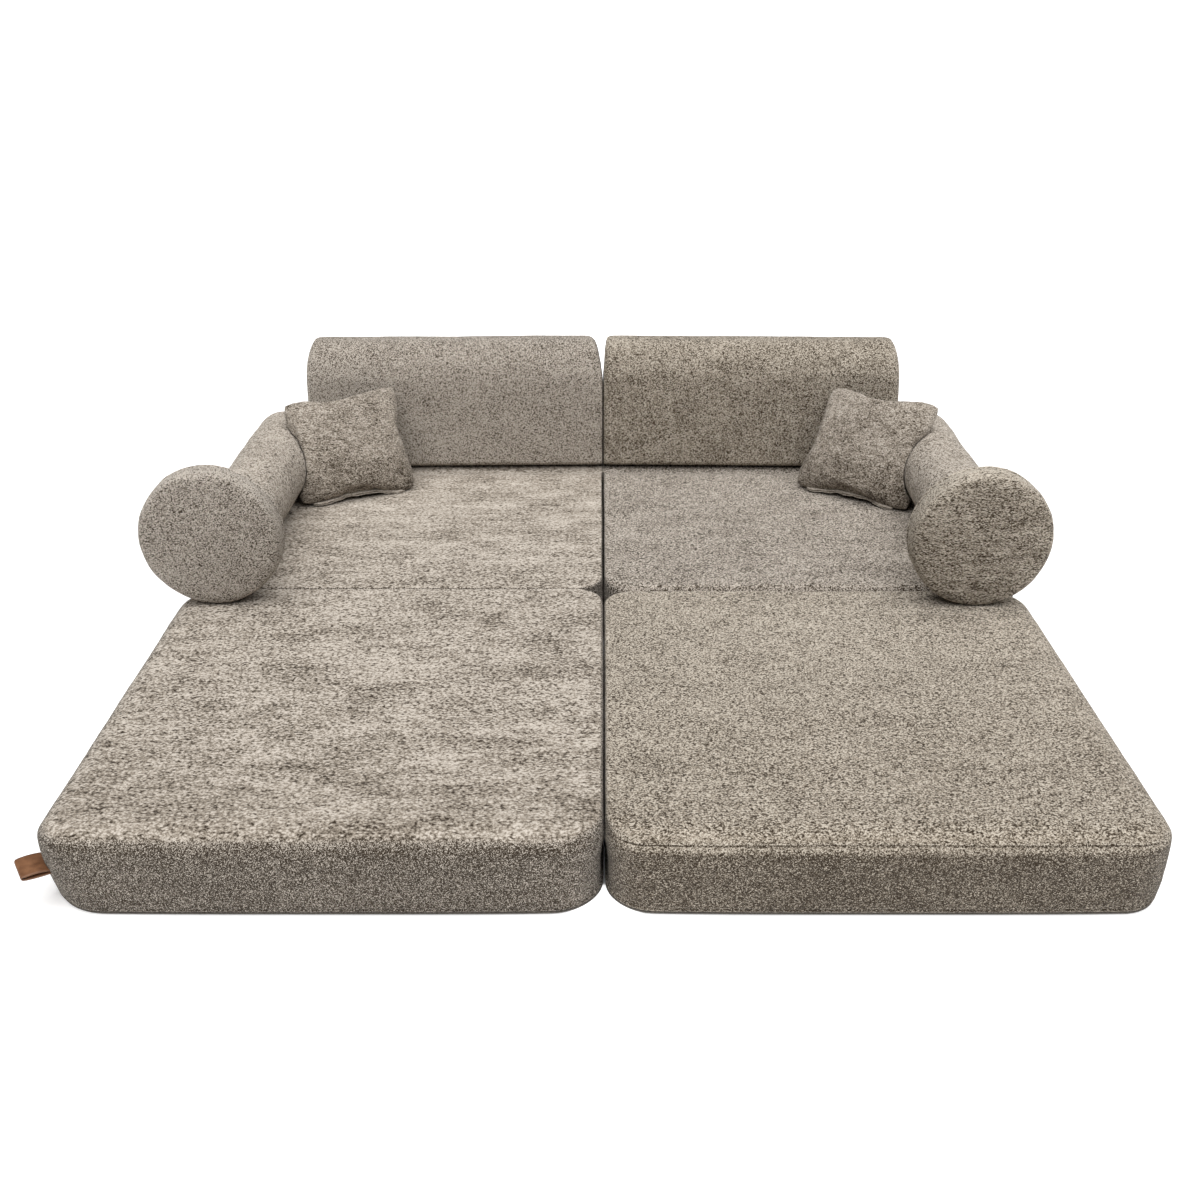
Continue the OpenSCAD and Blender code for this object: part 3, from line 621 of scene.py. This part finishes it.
def make_backrest(side, material, inner_round, outer_round, seed):
    """A block with a leaning front and a soft top edge; its ends are rounded by (depth, height) pairs."""
    sx = SIDES[side]
    nx, ny = 92, 22
    loops = []
    heights = [0.0, 0.0, 0.0020, 0.0044, 0.0068, 0.0094, 0.0124, 0.0160]
    insets = [0.040, 0.030, 0.0225, 0.0140, 0.0076, 0.0036, 0.0012, 0.0]
    top_edge = 0.090                    # how far down the soft top edge starts
    walls = np.linspace(0.020, BACK_H - top_edge, 16)
    tops = [BACK_H - top_edge * (1 - math.sin(math.radians(t))) for t in np.linspace(0, 90, 18)[1:]]
    for z, extra in [*zip(heights, insets), *((z, 0.0) for z in (*walls, *tops))]:
        swell = 0.003 * (2 * (z / BACK_H - 0.4)) ** 2 + extra
        front = swell + BACK_LEAN * z / BACK_H + rounding(z, BACK_H, 0.056, top_edge)
        rear = swell + rounding(z, BACK_H, 0.032, 0.046)
        # the two blocks press against each other below their top corners
        pressed = 0.0050 * (1 - float(smooth(z, 0.17, 0.25)))
        inner = rounding(z, BACK_H, *inner_round) - pressed
        outer = swell + rounding(z, BACK_H, *outer_round)
        room = (BACK_D - front - rear) / 2 - 0.001
        r = min(0.026, max(room, 0.004))
        flat = rounded_loop(inner, BACK_L - outer, front, BACK_D - rear, [min(r, 0.014), r, r, r], nx, ny)
        loops.append(np.c_[flat, np.full(len(flat), z)])
    points, faces = stack(loops, nx, ny)
    c, s = math.cos(BACK_TOE), math.sin(BACK_TOE)
    x, y = points[:, 0].copy(), points[:, 1].copy()
    points[:, 0] = BACK_INNER + x * c + y * s
    points[:, 1] = BACK_FRONT - x * s + y * c
    points[:, 2] += SEAT
    points, faces = mirrored(points, faces, sx, 1)
    piece = make_piece(f"{side}_backrest_block", points, faces, material, f"{side}_backrest",
                       (f"{side}_back_cover", f"{side}_back_foam", f"{side}_back_base"))
    normal = mesh_normals(piece)
    body = smooth(points[:, 2], SEAT + 0.004, SEAT + 0.03)
    lump = waves(points, 6.0, 2, seed) * 0.0016 + waves(points, 60.0, 2, seed + 3) * 0.0004
    points = points + normal * (lump * body)[:, None]
    behind = points[:, 1] - BACK_FRONT - BACK_LEAN * (points[:, 2] - SEAT) / BACK_H
    apart = PAIR_GAP + 0.0016 * (1 - smooth(behind, 0.024, 0.040))
    points[:, 0] = sx * np.maximum(sx * points[:, 0], apart)
    set_points(piece, points)


# Bolsters


def roll_axis(side):
    return np.array([SIDES[side] * (ROLL_X + ROLL_SHIFT[side]), 0, SEAT + ROLL_R])


def roll_zip(side):
    """A point on the middle line of a roll's zip, and the way that the zip faces."""
    out = np.array([SIDES[side] * math.cos(ROLL_ZIP_DOWN), 0, -math.sin(ROLL_ZIP_DOWN)])
    return roll_axis(side) + out * (ROLL_R + 0.0002), out


def make_roll(side, material, seed):
    """Slim roll: drawn in at its neck, where the head is sewn on, and rounded at its rear end."""
    profile = []
    for y in np.r_[np.linspace(-0.024, 0.045, 8), np.linspace(0.053, ROLL_END - 0.024, 60)]:
        neck = 0.008 * max(0.0, 1 - (y + 0.016) / 0.05) ** 2
        profile.append((ROLL_R - neck, y))
    round_end = 0.022
    for turn in np.linspace(0, 90, 10)[1:]:
        a = math.radians(turn)
        profile.append((ROLL_R - round_end + round_end * math.cos(a),
                        ROLL_END - round_end + round_end * math.sin(a)))
    points, faces = turned(profile, 30)
    points += roll_axis(side)
    piece = make_piece(f"{side}_bolster_roll", points, faces, material, f"{side}_bolster",
                       (f"{side}_roll_cover", f"{side}_roll_foam"))
    normal = mesh_normals(piece)
    low = smooth(points[:, 2], SEAT, SEAT + 0.012)
    # the cover lies flat under its zip
    from_zip = np.hypot(*(points - roll_zip(side)[0])[:, [0, 2]].T)
    lump = waves(points, 9.0, 3, seed) * 0.0016 + waves(points, 60.0, 2, seed + 2) * 0.0004
    lump *= smooth(from_zip, 0.008, 0.018)
    set_points(piece, points + normal * (lump * low)[:, None])


def make_head(side, material, seed):
    """Large disc: crowned front panel, rim band between two seams, flat rear panel."""
    x0, y0 = HEAD_PLACE[side]
    panel_r, panel_y = HEAD_R - 0.030, -0.0042
    profile = [(panel_r, panel_y), (HEAD_R - 0.018, -0.0032), (HEAD_R - 0.010, -0.0016),
               (HEAD_R - 0.0056, 0.0010), (HEAD_R - 0.0034, 0.0038), (HEAD_R - 0.0040, 0.0052),
               (HEAD_R - 0.0044, 0.0060), (HEAD_R - 0.0026, 0.0072), (HEAD_R - 0.0018, 0.0086)]
    profile += [(HEAD_R - 0.0022 * (t * 2 - 1) ** 2, 0.010 + 0.032 * t) for t in np.linspace(0, 1, 8)]
    profile += [(HEAD_R - 0.0034, 0.0438), (HEAD_R - 0.0008, 0.0456), (HEAD_R - 0.0004, 0.0475),
                (HEAD_R - 0.0012, 0.0492), (HEAD_R - 0.0050, 0.0508), (HEAD_R - 0.0048, 0.0528),
                (HEAD_R - 0.0064, 0.0552), (HEAD_R - 0.0105, 0.0582), (HEAD_R - 0.020, 0.0598)]
    points, faces = turned(profile, 42)
    far = np.hypot(points[:, 0], points[:, 2])
    on_front = points[:, 1] < -0.0040
    points[on_front, 1] = panel_y - 0.0035 * (1 - (far[on_front] / panel_r) ** 2)
    points += [x0, y0, SEAT + HEAD_R]
    piece = make_piece(f"{side}_bolster_head", points, faces, material, f"{side}_bolster",
                       (f"{side}_head_cover", f"{side}_head_foam", f"{side}_head_panel"))
    normal = mesh_normals(piece)
    low = smooth(points[:, 2], SEAT, SEAT + 0.010)
    lump = waves(points, 16.0, 3, seed) * 0.0011 + waves(points, 70.0, 2, seed + 2) * 0.0004
    set_points(piece, points + normal * (lump * low)[:, None])


# Pillows

PILLOW_CELLS = 64
PILLOW_DRAW = 0.030  # how far the sides draw in between the corners
# foot on the mat, turn, lean, and how far each corner lies off the square: top left, top right,
# bottom right, bottom left
PILLOWS = {"left": {"foot": (-0.5405, 0.4605), "turn": 26.5, "lean": 35.0,
                    "corners": ((0.010, -0.002), (0.012, 0.006), (0.002, -0.003), (-0.004, 0.001))},
           "right": {"foot": (0.5455, 0.4565), "turn": -34.5, "lean": 33.0,
                     "corners": ((0.014, 0.003), (0.006, 0.004), (0.010, -0.005), (-0.009, 0.0))}}
LIP_HALF = 0.104
LIP_OUT = 0.0096


def pillow_blank():
    """Front and rear grids of a stuffed square: x across, y up the face, z out of the front."""
    u = np.sin(np.radians(90 * (2 * np.arange(PILLOW_CELLS + 1) / PILLOW_CELLS - 1)))
    uu, vv = np.meshgrid(u, u, indexing="ij")
    blunt = 1 - 0.07 * (abs(uu) * abs(vv)) ** 5
    x = PILLOW_W / 2 * uu * (1 - PILLOW_DRAW * (1 - vv ** 2)) * blunt
    y = PILLOW_L / 2 * vv * (1 - PILLOW_DRAW * (1 - uu ** 2)) * blunt
    rise = 0.034 * ((1 - uu ** 2) * (1 - vv ** 2)) ** 0.42
    return np.stack([x, y, rise], -1), np.stack([x, y, -rise], -1)


def make_pillow(side, material, lip_material, seed):
    n = PILLOW_CELLS
    front, rear = pillow_blank()
    inner = np.zeros((n + 1, n + 1), bool)
    inner[1:-1, 1:-1] = True
    front_number = np.arange((n + 1) ** 2).reshape(n + 1, n + 1)
    rear_number = front_number.copy()
    rear_number[inner] = (n + 1) ** 2 + np.arange(inner.sum())
    points = np.vstack([front.reshape(-1, 3), rear[inner]])
    faces = []
    a, b = front_number, rear_number
    for i in range(n):
        for j in range(n):
            faces.append((a[i, j], a[i + 1, j], a[i + 1, j + 1], a[i, j + 1]))
            faces.append((b[i, j], b[i, j + 1], b[i + 1, j + 1], b[i + 1, j]))
    piece = make_piece(f"{side}_pillow_cushion", points, faces, material, f"{side}_pillow",
                       (f"{side}_pillow_front", f"{side}_pillow_rear", f"{side}_pillow_filling"))
    inflate(piece, pressure=3.0, cap=0.014)
    points = mesh_points(piece)
    high = points[:, 1] / PILLOW_L + 0.5
    across = points[:, 0] / PILLOW_W
    sag = -0.004 * np.sin(np.pi * np.clip(high, 0, 1)) * (1 - 4 * across ** 2)
    points[:, 1] += np.where(points[:, 2] > 0, sag, 0)
    u, v = np.clip(across + 0.5, 0, 1)[:, None], np.clip(high, 0, 1)[:, None]
    top_left, top_right, low_right, low_left = np.array(PILLOWS[side]["corners"])
    points[:, :2] += (v * (1 - u) * top_left + v * u * top_right
                      + (1 - v) * u * low_right + (1 - v) * (1 - u) * low_left)
    if side == "right":                 # its top right corner hangs back
        tip = np.clip((across + high - 1.28) / 0.20, 0, 1) ** 2
        points[:, 2] -= 0.022 * tip
    edge = points[front_number[:, 0]].copy()
    place_pillow(piece, points, side, seed)
    make_lip(side, edge, lip_material, seed)


def inflate(piece, pressure, cap, frames=20):
    """Fills a stuffed piece by cloth simulation and keeps the result as its mesh."""
    scene = bpy.context.scene
    rest = mesh_points(piece)
    cloth = piece.modifiers.new("stuffing", "CLOTH")
    settings = cloth.settings
    settings.quality = 6
    settings.mass = 0.3
    settings.tension_stiffness = 30
    settings.compression_stiffness = 12
    settings.shear_stiffness = 12
    settings.bending_stiffness = 0.4
    settings.use_pressure = True
    settings.uniform_pressure_force = pressure
    settings.effector_weights.gravity = 0
    cloth.collision_settings.use_collision = False
    cloth.point_cache.frame_start = 1
    cloth.point_cache.frame_end = frames
    for number in range(1, frames + 1):
        scene.frame_set(number)
    swollen = piece.evaluated_get(bpy.context.evaluated_depsgraph_get()).to_mesh()
    move = vertex_values(swollen, "co") - rest
    piece.to_mesh_clear()
    piece.modifiers.remove(cloth)
    scene.frame_set(1)
    size = np.linalg.norm(move, axis=1)
    move *= np.minimum(1, cap / np.maximum(size, 1e-9))[:, None]
    set_points(piece, rest + move)


def stand_up(points, side, low):
    """From a pillow's own x, y, z to the sofa: its lowest edge on the mat, leaning back, turned."""
    setting = PILLOWS[side]
    turn, lean = math.radians(setting["turn"]), math.radians(setting["lean"])
    x, y, z = points[:, 0], points[:, 1] - low, points[:, 2]
    back = y * math.sin(lean) - z * math.cos(lean)
    high = y * math.cos(lean) + z * math.sin(lean)
    return np.c_[setting["foot"][0] + x * math.cos(turn) - back * math.sin(turn),
                 setting["foot"][1] + x * math.sin(turn) + back * math.cos(turn),
                 SEAT + 0.004 + high]


def place_pillow(piece, points, side, seed):
    """Stands the pillow on the mat and lets it give way to the roll, backrest and mat."""
    world = stand_up(points, side, points[:, 1].min())
    away = world[:, [0, 2]] - roll_axis(side)[[0, 2]]
    far = np.linalg.norm(away, axis=1)
    short = np.maximum(0, ROLL_R + 0.003 - far)
    world[:, [0, 2]] += away / far[:, None] * short[:, None]
    front = (BACK_FRONT - abs(world[:, 0]) * math.sin(BACK_TOE)
             + BACK_LEAN * (world[:, 2] - SEAT) / BACK_H - 0.002)
    world[:, 1] = np.minimum(world[:, 1], front)
    world[:, 2] = np.maximum(world[:, 2], SEAT + 0.0008)
    set_points(piece, world)
    normal = mesh_normals(piece)
    lump = waves(world, 26.0, 3, seed) * 0.0016 + waves(world, 120.0, 2, seed + 1) * 0.0006
    set_points(piece, world + normal * lump[:, None])


def make_lip(side, edge, material, seed):
    """Two layers of cloth that stand out from the pillow's bottom edge, over its zip."""
    steps = 160
    lean = math.radians(PILLOWS[side]["lean"])
    profile = [(0.0, 0.0030), (0.0045, 0.0032), (0.0085, 0.0030), (LIP_OUT, 0.0020), (0.0088, 0.0009),
               (0.0030, 0.0004), (0.0030, -0.0004), (0.0088, -0.0009), (LIP_OUT, -0.0020),
               (0.0085, -0.0028), (0.0045, -0.0028), (0.0, -0.0024)]
    x = np.linspace(-LIP_HALF, LIP_HALF, steps)
    root = np.interp(x, edge[:, 0], edge[:, 1])
    low = edge[:, 1].min()
    end = np.sqrt(np.clip((LIP_HALF - abs(x)) / 0.014, 0, 1))
    wander = 0.0014 * np.sin(x * 62 + seed) + 0.0009 * np.sin(x * 155 + 2 * seed)
    rings = []
    for out, up in profile:
        layer = 1.0 if up > 0 else -1.0
        share = out / LIP_OUT
        wave = 0.0007 * np.sin(x * 190 + seed + layer) + 0.0004 * np.sin(x * 430 + 2 * seed - layer)
        forward = (out + (wander + 0.5 * wave) * share) * (0.2 + 0.8 * end)
        rise = up * (0.35 + 0.65 * end) + wave * share * end - 0.0016 * share
        rings.append(np.c_[x, root - forward * math.sin(lean) + rise * math.cos(lean),
                           forward * math.cos(lean) + rise * math.sin(lean)])
    count = len(profile)
    points = stand_up(np.stack(rings, 1).reshape(-1, 3), side, low)
    points[:, 2] = np.maximum(points[:, 2], SEAT + 0.0006)
    faces = []
    for i in range(steps - 1):
        for k in range(count):
            m = (k + 1) % count
            faces.append((i * count + k, (i + 1) * count + k, (i + 1) * count + m, i * count + m))
    faces.append(tuple(range(count)))
    faces.append(tuple((steps - 1) * count + k for k in range(count))[::-1])
    make_piece(f"{side}_pillow_lip", points, faces, material, f"{side}_pillow",
               (f"{side}_pillow_zip",))


# Zips and hinge strips


def make_zip(name, node, body, tape_cloth, coil_nylon, middle, along, out, length):
    """Tape in two halves with a chain of teeth. middle is on the tape's inner face."""
    along, out, middle = (np.array(v, float) for v in (along, out, middle))
    across = np.cross(out, along)
    rib = [(-0.0069, 0.0001), (-0.0069, 0.0008), (-0.0062, 0.0011), (-0.0054, 0.0008), (-0.0030, 0.0008),
           (-0.0022, 0.0012), (-0.0004, 0.0012), (0.0, 0.0006), (0.0004, 0.0012), (0.0022, 0.0012),
           (0.0030, 0.0008), (0.0054, 0.0008), (0.0062, 0.0011), (0.0069, 0.0008), (0.0069, 0.0001)]
    count = len(rib)
    points, faces = [], []
    places = np.linspace(-length / 2, length / 2, 40)
    for place in places:
        points += [middle + along * place + across * w + out * h for w, h in rib]
    for i in range(len(places) - 1):
        for k in range(count):
            m = (k + 1) % count
            faces.append((i * count + k, i * count + m, (i + 1) * count + m, (i + 1) * count + k))
    faces.append(tuple(range(count))[::-1])
    faces.append(tuple((len(places) - 1) * count + k for k in range(count)))
    make_piece(f"{name}_tape", points, faces, tape_cloth, body, (node,))
    points, faces = [], []
    pitch, lean = 0.0026, 0.0005
    teeth = int((length - 0.010) / pitch)
    sides = [(0, 1, 5, 4), (1, 2, 6, 5), (2, 3, 7, 6), (3, 0, 4, 7), (3, 2, 1, 0), (4, 5, 6, 7)]
    for t in range(teeth):
        place = (t - (teeth - 1) / 2) * pitch
        hand = 1 if t % 2 else -1
        base = len(points)
        for w, skew in ((-0.0007, -1), (0.0019, 1)):
            for a, h in ((-0.0008, 0.0006), (-0.0005, 0.0018), (0.0005, 0.0018), (0.0008, 0.0006)):
                points.append(middle + along * (place + a + lean * skew) + across * w * hand + out * h)
        for face in sides:
            faces.append(tuple(base + k for k in (face if hand < 0 else face[::-1])))
    make_piece(f"{name}_teeth", points, faces, coil_nylon, body)


def make_zips(tape_cloth, coil_nylon):
    for side, sx in SIDES.items():
        for row, sy in ROWS.items():
            name = f"{side}_{row}"
            make_zip(f"{name}_zip", f"{name}_zip", f"{name}_mat", tape_cloth, coil_nylon,
                     (sx * MAT_W / 2, sy * MAT_ZIP_Y, 0.0040), (1, 0, 0), (0, 0, -1), 2 * MAT_ZIP_REACH)
        low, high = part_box(f"{side}_back_zip")
        toe = -sx * BACK_TOE
        make_zip(f"{side}_backrest_zip", f"{side}_back_zip", f"{side}_backrest", tape_cloth, coil_nylon,
                 ((low.x + high.x) / 2, (low.y + high.y) / 2, high.z),
                 (math.cos(toe), math.sin(toe), 0), (0, 0, -1), BACK_ZIP_LENGTH)
        low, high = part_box(f"{side}_roll_zip")
        middle, out = roll_zip(side)
        middle[1] = (low.y + high.y) / 2
        make_zip(f"{side}_bolster_zip", f"{side}_roll_zip", f"{side}_bolster", tape_cloth, coil_nylon,
                 middle, (0, 1, 0), out, high.y - low.y)


def make_hinge_strip(side, material):
    """One cloth strip under the fold line of a column, across the line where the two mats meet."""
    low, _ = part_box(f"{side}_front_hinge_tape")
    _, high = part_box(f"{side}_rear_hinge_tape")
    nx, ny = 80, 44
    loops = []
    for inset, z in ((0.0005, 0.0001), (0.0, 0.0004), (0.0, 0.0011), (0.0005, 0.0014)):
        flat = rounded_loop(low.x + inset, high.x - inset, low.y + inset, high.y - inset, [0.003] * 4, nx, ny)
        loops.append(np.c_[flat, np.full(len(flat), z)])
    points, faces = stack(loops, nx, ny)
    piece = make_piece(f"{side}_hinge_strip", points, faces, material, None,
                       (f"{side}_rear_hinge_tape", f"{side}_front_hinge_tape"))
    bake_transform(piece)


# Leather tab

TAB_TURN = math.radians(32.5)
TAB_ROOT = (-0.7933, -0.7654, 0.0635)  # where the tab comes out of the left front mat's corner


def make_tab(material):
    """A strip of leather folded to a flat loop, with rounded outer corners."""
    out = np.array([-math.cos(TAB_TURN), -math.sin(TAB_TURN), 0])
    along = np.array([math.sin(TAB_TURN), -math.cos(TAB_TURN), 0])
    up = np.array([0, 0, 1.0])
    root = np.array(TAB_ROOT) - out * 0.006
    length, half, gap, thick = 0.040, 0.0245, 0.0016, 0.0017
    straight, bulge, nose = length - 0.003, 0.0013, 0.0022
    centre_line = []
    for t in np.linspace(0, 1, 12):
        centre_line.append((t * straight, gap + thick / 2 + bulge * math.sin(math.pi * t)))
    for a in np.linspace(90, -90, 9)[1:-1]:
        centre_line.append((straight + math.cos(math.radians(a)) * nose,
                            math.sin(math.radians(a)) * (gap + thick / 2)))
    for t in np.linspace(1, 0, 12):
        centre_line.append((t * straight, -gap - thick / 2 - bulge * math.sin(math.pi * t)))
    line = np.array(centre_line)
    step = np.gradient(line, axis=0)
    step /= np.linalg.norm(step, axis=1)[:, None]
    side = np.c_[step[:, 1], -step[:, 0]]
    across = np.linspace(-1, 1, 15)
    points, faces = [], []
    for face_side in (0.5, -0.5):
        for (s, h), (ns, nh) in zip(line, side):
            s2, h2 = s + ns * thick * face_side, h + nh * thick * face_side
            reach = min(1.0, max(0.0, (length - s2) / 0.007))
            width = half * (1 - 0.16 * (1 - math.sqrt(1 - (1 - reach) ** 2)))
            droop = 0.10 * s2 - 1.2 * s2 ** 2
            for w in across:
                edge = thick * 0.25 * face_side * 2 * max(0.0, abs(w) - 0.93) / 0.07
                points.append(root + out * s2 + along * w * width + up * (h2 - edge * 0.5 + droop))
    m, k = len(line), len(across)
    for sheet, flip in ((0, False), (1, True)):
        for i in range(m - 1):
            for j in range(k - 1):
                a = sheet * m * k + i * k + j
                face = (a, a + 1, a + k + 1, a + k)
                faces.append(face[::-1] if flip else face)
    for i in range(m - 1):
        a, b = i * k, m * k + i * k
        faces.append((a + k, b + k, b, a))
        faces.append((a + k - 1, b + k - 1, b + 2 * k - 1, a + 2 * k - 1))
    for i in (0, m - 1):
        for j in range(k - 1):
            a, b = i * k + j, m * k + i * k + j
            face = (a, b, b + 1, a + 1)
            faces.append(face if i == 0 else face[::-1])
    make_piece("folded_tab", points, faces, material, "leather_tab", ("leather_tab",))


# Build

# tone and side_tone paint light and shade by which way a surface faces: the mats' walls are painted darker
# than their tops
left_mat_fabric = chenille("left_mat_chenille", grain=(0.78, 1.1, 1.0), side_grain=(2.6, 2.6, 2.7),
                           tone=0.105, side_tone=-0.39, turn=(0.55, 0.92), patches=1.0, mottling=0.4,
                           side_patches=0.15, streaks=0.34, streak_grain=(9.0, 60.0, 60.0), contrast=1.85,
                           side_contrast=4.9,
                           rows=((-0.78, -0.40, -0.055, 0.0, 0.74, 1.0), (0.0, 0.5, 0.0, 0.03, 1.0, 0.70)))
right_mat_fabric = chenille("right_mat_chenille", grain=(1.3, 1.7, 1.3), side_grain=(2.0, 2.0, 2.5),
                            tone=0.02, side_tone=-0.385, turn=(0.15, 0.60), patches=0.5, mottling=0.6,
                            side_patches=0.7, streaks=0.14, streak_grain=(9.0, 60.0, 60.0), contrast=2.4,
                            side_contrast=2.6, stops=WARM_STOPS, front_seam=0.3,
                            rows=((-0.75, -0.05, -0.02, 0.08, 0.93, 1.25),))
right_rear_fabric = chenille("right_rear_chenille", grain=(1.25, 1.9, 1.2), side_grain=(2.0, 2.0, 2.0),
                             tone=0.04, side_tone=-0.2, turn=(0.3, 0.8), patches=0.75, mottling=0.6,
                             streaks=0.12, streak_grain=(9.0, 60.0, 60.0), contrast=3.8)
# painted shadow: the backrest cloths darken just above the seat, where each block stands on the mats
left_back_fabric = chenille("left_backrest_chenille", grain=(2.0, 1.9, 2.1), tone=0.09, side_tone=0.27,
                            patches=0.35, streaks=0.12, streak_grain=(14.0, 30.0, 80.0), contrast=3.3,
                            painted_low_shade=(0.134, 0.139, 0.5))
right_back_fabric = chenille("right_backrest_chenille", grain=(1.6, 1.6, 1.9), tone=0.05, side_tone=0.03,
                             patches=0.45, streaks=0.28, streak_grain=(80.0, 30.0, 10.0), contrast=2.3,
                             stops=WARM_STOPS, painted_low_shade=(0.134, 0.139, 0.5))
roll_fabric = chenille("roll_chenille", grain=(1.25, 1.15, 1.25), tone=0.18, side_tone=0.12, patches=0.45,
                       streaks=0.1, contrast=1.85)
# painted shade: the heads' front panels are painted darker than their rims
left_head_fabric = chenille("left_head_chenille", grain=(2.0, 2.0, 3.0), tone=0.56, side_tone=0.48,
                            patches=0.45, streaks=0.05, contrast=5.4, painted_front_shade=0.29,
                            rings=((-0.0706, 0.0016, 0.25), (-0.0327, 0.0015, 0.8), (-0.0257, 0.0015, 0.8)))
right_head_fabric = chenille("right_head_chenille", grain=(1.0, 1.5, 3.3), tone=0.31, side_tone=0.20,
                             patches=0.45, streaks=0.6, streak_grain=(14.0, 60.0, 190.0), contrast=2.8,
                             stops=WARM_STOPS, painted_front_shade=0.26, ring_side=(0.25, 0.6),
                             rings=((-0.0781, 0.0016, 0.25), (-0.0402, 0.0015, 0.32),
                                    (-0.0332, 0.0015, 0.32)))
# painted shade: the pillow cloth darkens towards the pillow's lower part
pillow_fabric = chenille("pillow_chenille", grain=(1.1, 1.6, 2.4), tone=0.05, side_tone=0.02,
                         patches=0.6, streaks=0.4, streak_grain=(40.0, 60.0, 110.0), contrast=1.6,
                         painted_low_shade=(0.14, 0.27, 0.16))
lip_fabric = chenille("lip_chenille", grain=(1.6, 1.8, 1.8), tone=0.20, side_tone=0.18, patches=0.2,
                      contrast=0.9)
base_fabric = woven("base_weave", linear(108, 103, 96), linear(68, 64, 59))
zip_fabric = woven("zip_weave", (0.20, 0.17, 0.14), (0.10, 0.085, 0.07), 1500.0)
tab_leather = leather("tan_leather")
slider_finish = metal("slider_satin")
coil_finish = nylon("zip_nylon")

make_mat("left", "rear", left_mat_fabric, 1.0)
make_mat("left", "front", left_mat_fabric, 2.0)
make_mat("right", "rear", right_rear_fabric, 3.0)
make_mat("right", "front", right_mat_fabric, 4.0)
for column in SIDES:
    for depth_row in ROWS:
        make_base(column, depth_row, base_fabric)
make_backrest("left", left_back_fabric, (0.025, 0.100), (0.019, 0.074), 5.0)
make_backrest("right", right_back_fabric, (0.008, 0.060), (0.019, 0.074), 6.0)
for column, head_fabric, seed in (("left", left_head_fabric, 7.0), ("right", right_head_fabric, 8.0)):
    make_roll(column, roll_fabric, seed)
    make_head(column, head_fabric, seed + 4)
    make_pillow(column, pillow_fabric, lip_fabric, seed + 6)
make_tab(tab_leather)

make_zips(zip_fabric, coil_finish)
for column in SIDES:
    make_hinge_strip(column, base_fabric)

for node_name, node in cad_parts.items():
    if node_name.endswith("_slider"):
        node.data.materials.clear()
        node.data.materials.append(slider_finish)

# Studio


def make_floor():
    size = 70.0
    mesh = bpy.data.meshes.new("floor")
    corners = [(-size, -size, 0), (size, -size, 0), (size, size, 0), (-size, size, 0)]
    mesh.from_pydata(corners, [], [(0, 1, 2, 3)])
    mesh.materials.append(plain_floor())
    floor = bpy.data.objects.new("floor", mesh)
    floor.location.z = -0.0003
    bpy.context.scene.collection.objects.link(floor)


def make_sky_light(name, towards, spread, power):
    """A very wide, even light, like a diffusing ceiling over the whole floor."""
    data = bpy.data.lights.new(name, "SUN")
    data.angle = math.radians(spread)
    data.energy = power
    light = bpy.data.objects.new(name, data)
    light.location = (0, 0, 3)
    light.rotation_euler = Vector(towards).to_track_quat("-Z", "Y").to_euler()
    bpy.context.scene.collection.objects.link(light)


make_floor()
make_sky_light("overhead", (-0.05, 0.30, -1.0), 85.0, 4.75)

world = bpy.data.worlds.new("studio")
world.use_nodes = True
world.node_tree.nodes["Background"].inputs["Color"].default_value = (1.0, 1.0, 1.0, 1.0)
world.node_tree.nodes["Background"].inputs["Strength"].default_value = 0.09
bpy.context.scene.world = world
bpy.context.scene.view_settings.view_transform = "Standard"
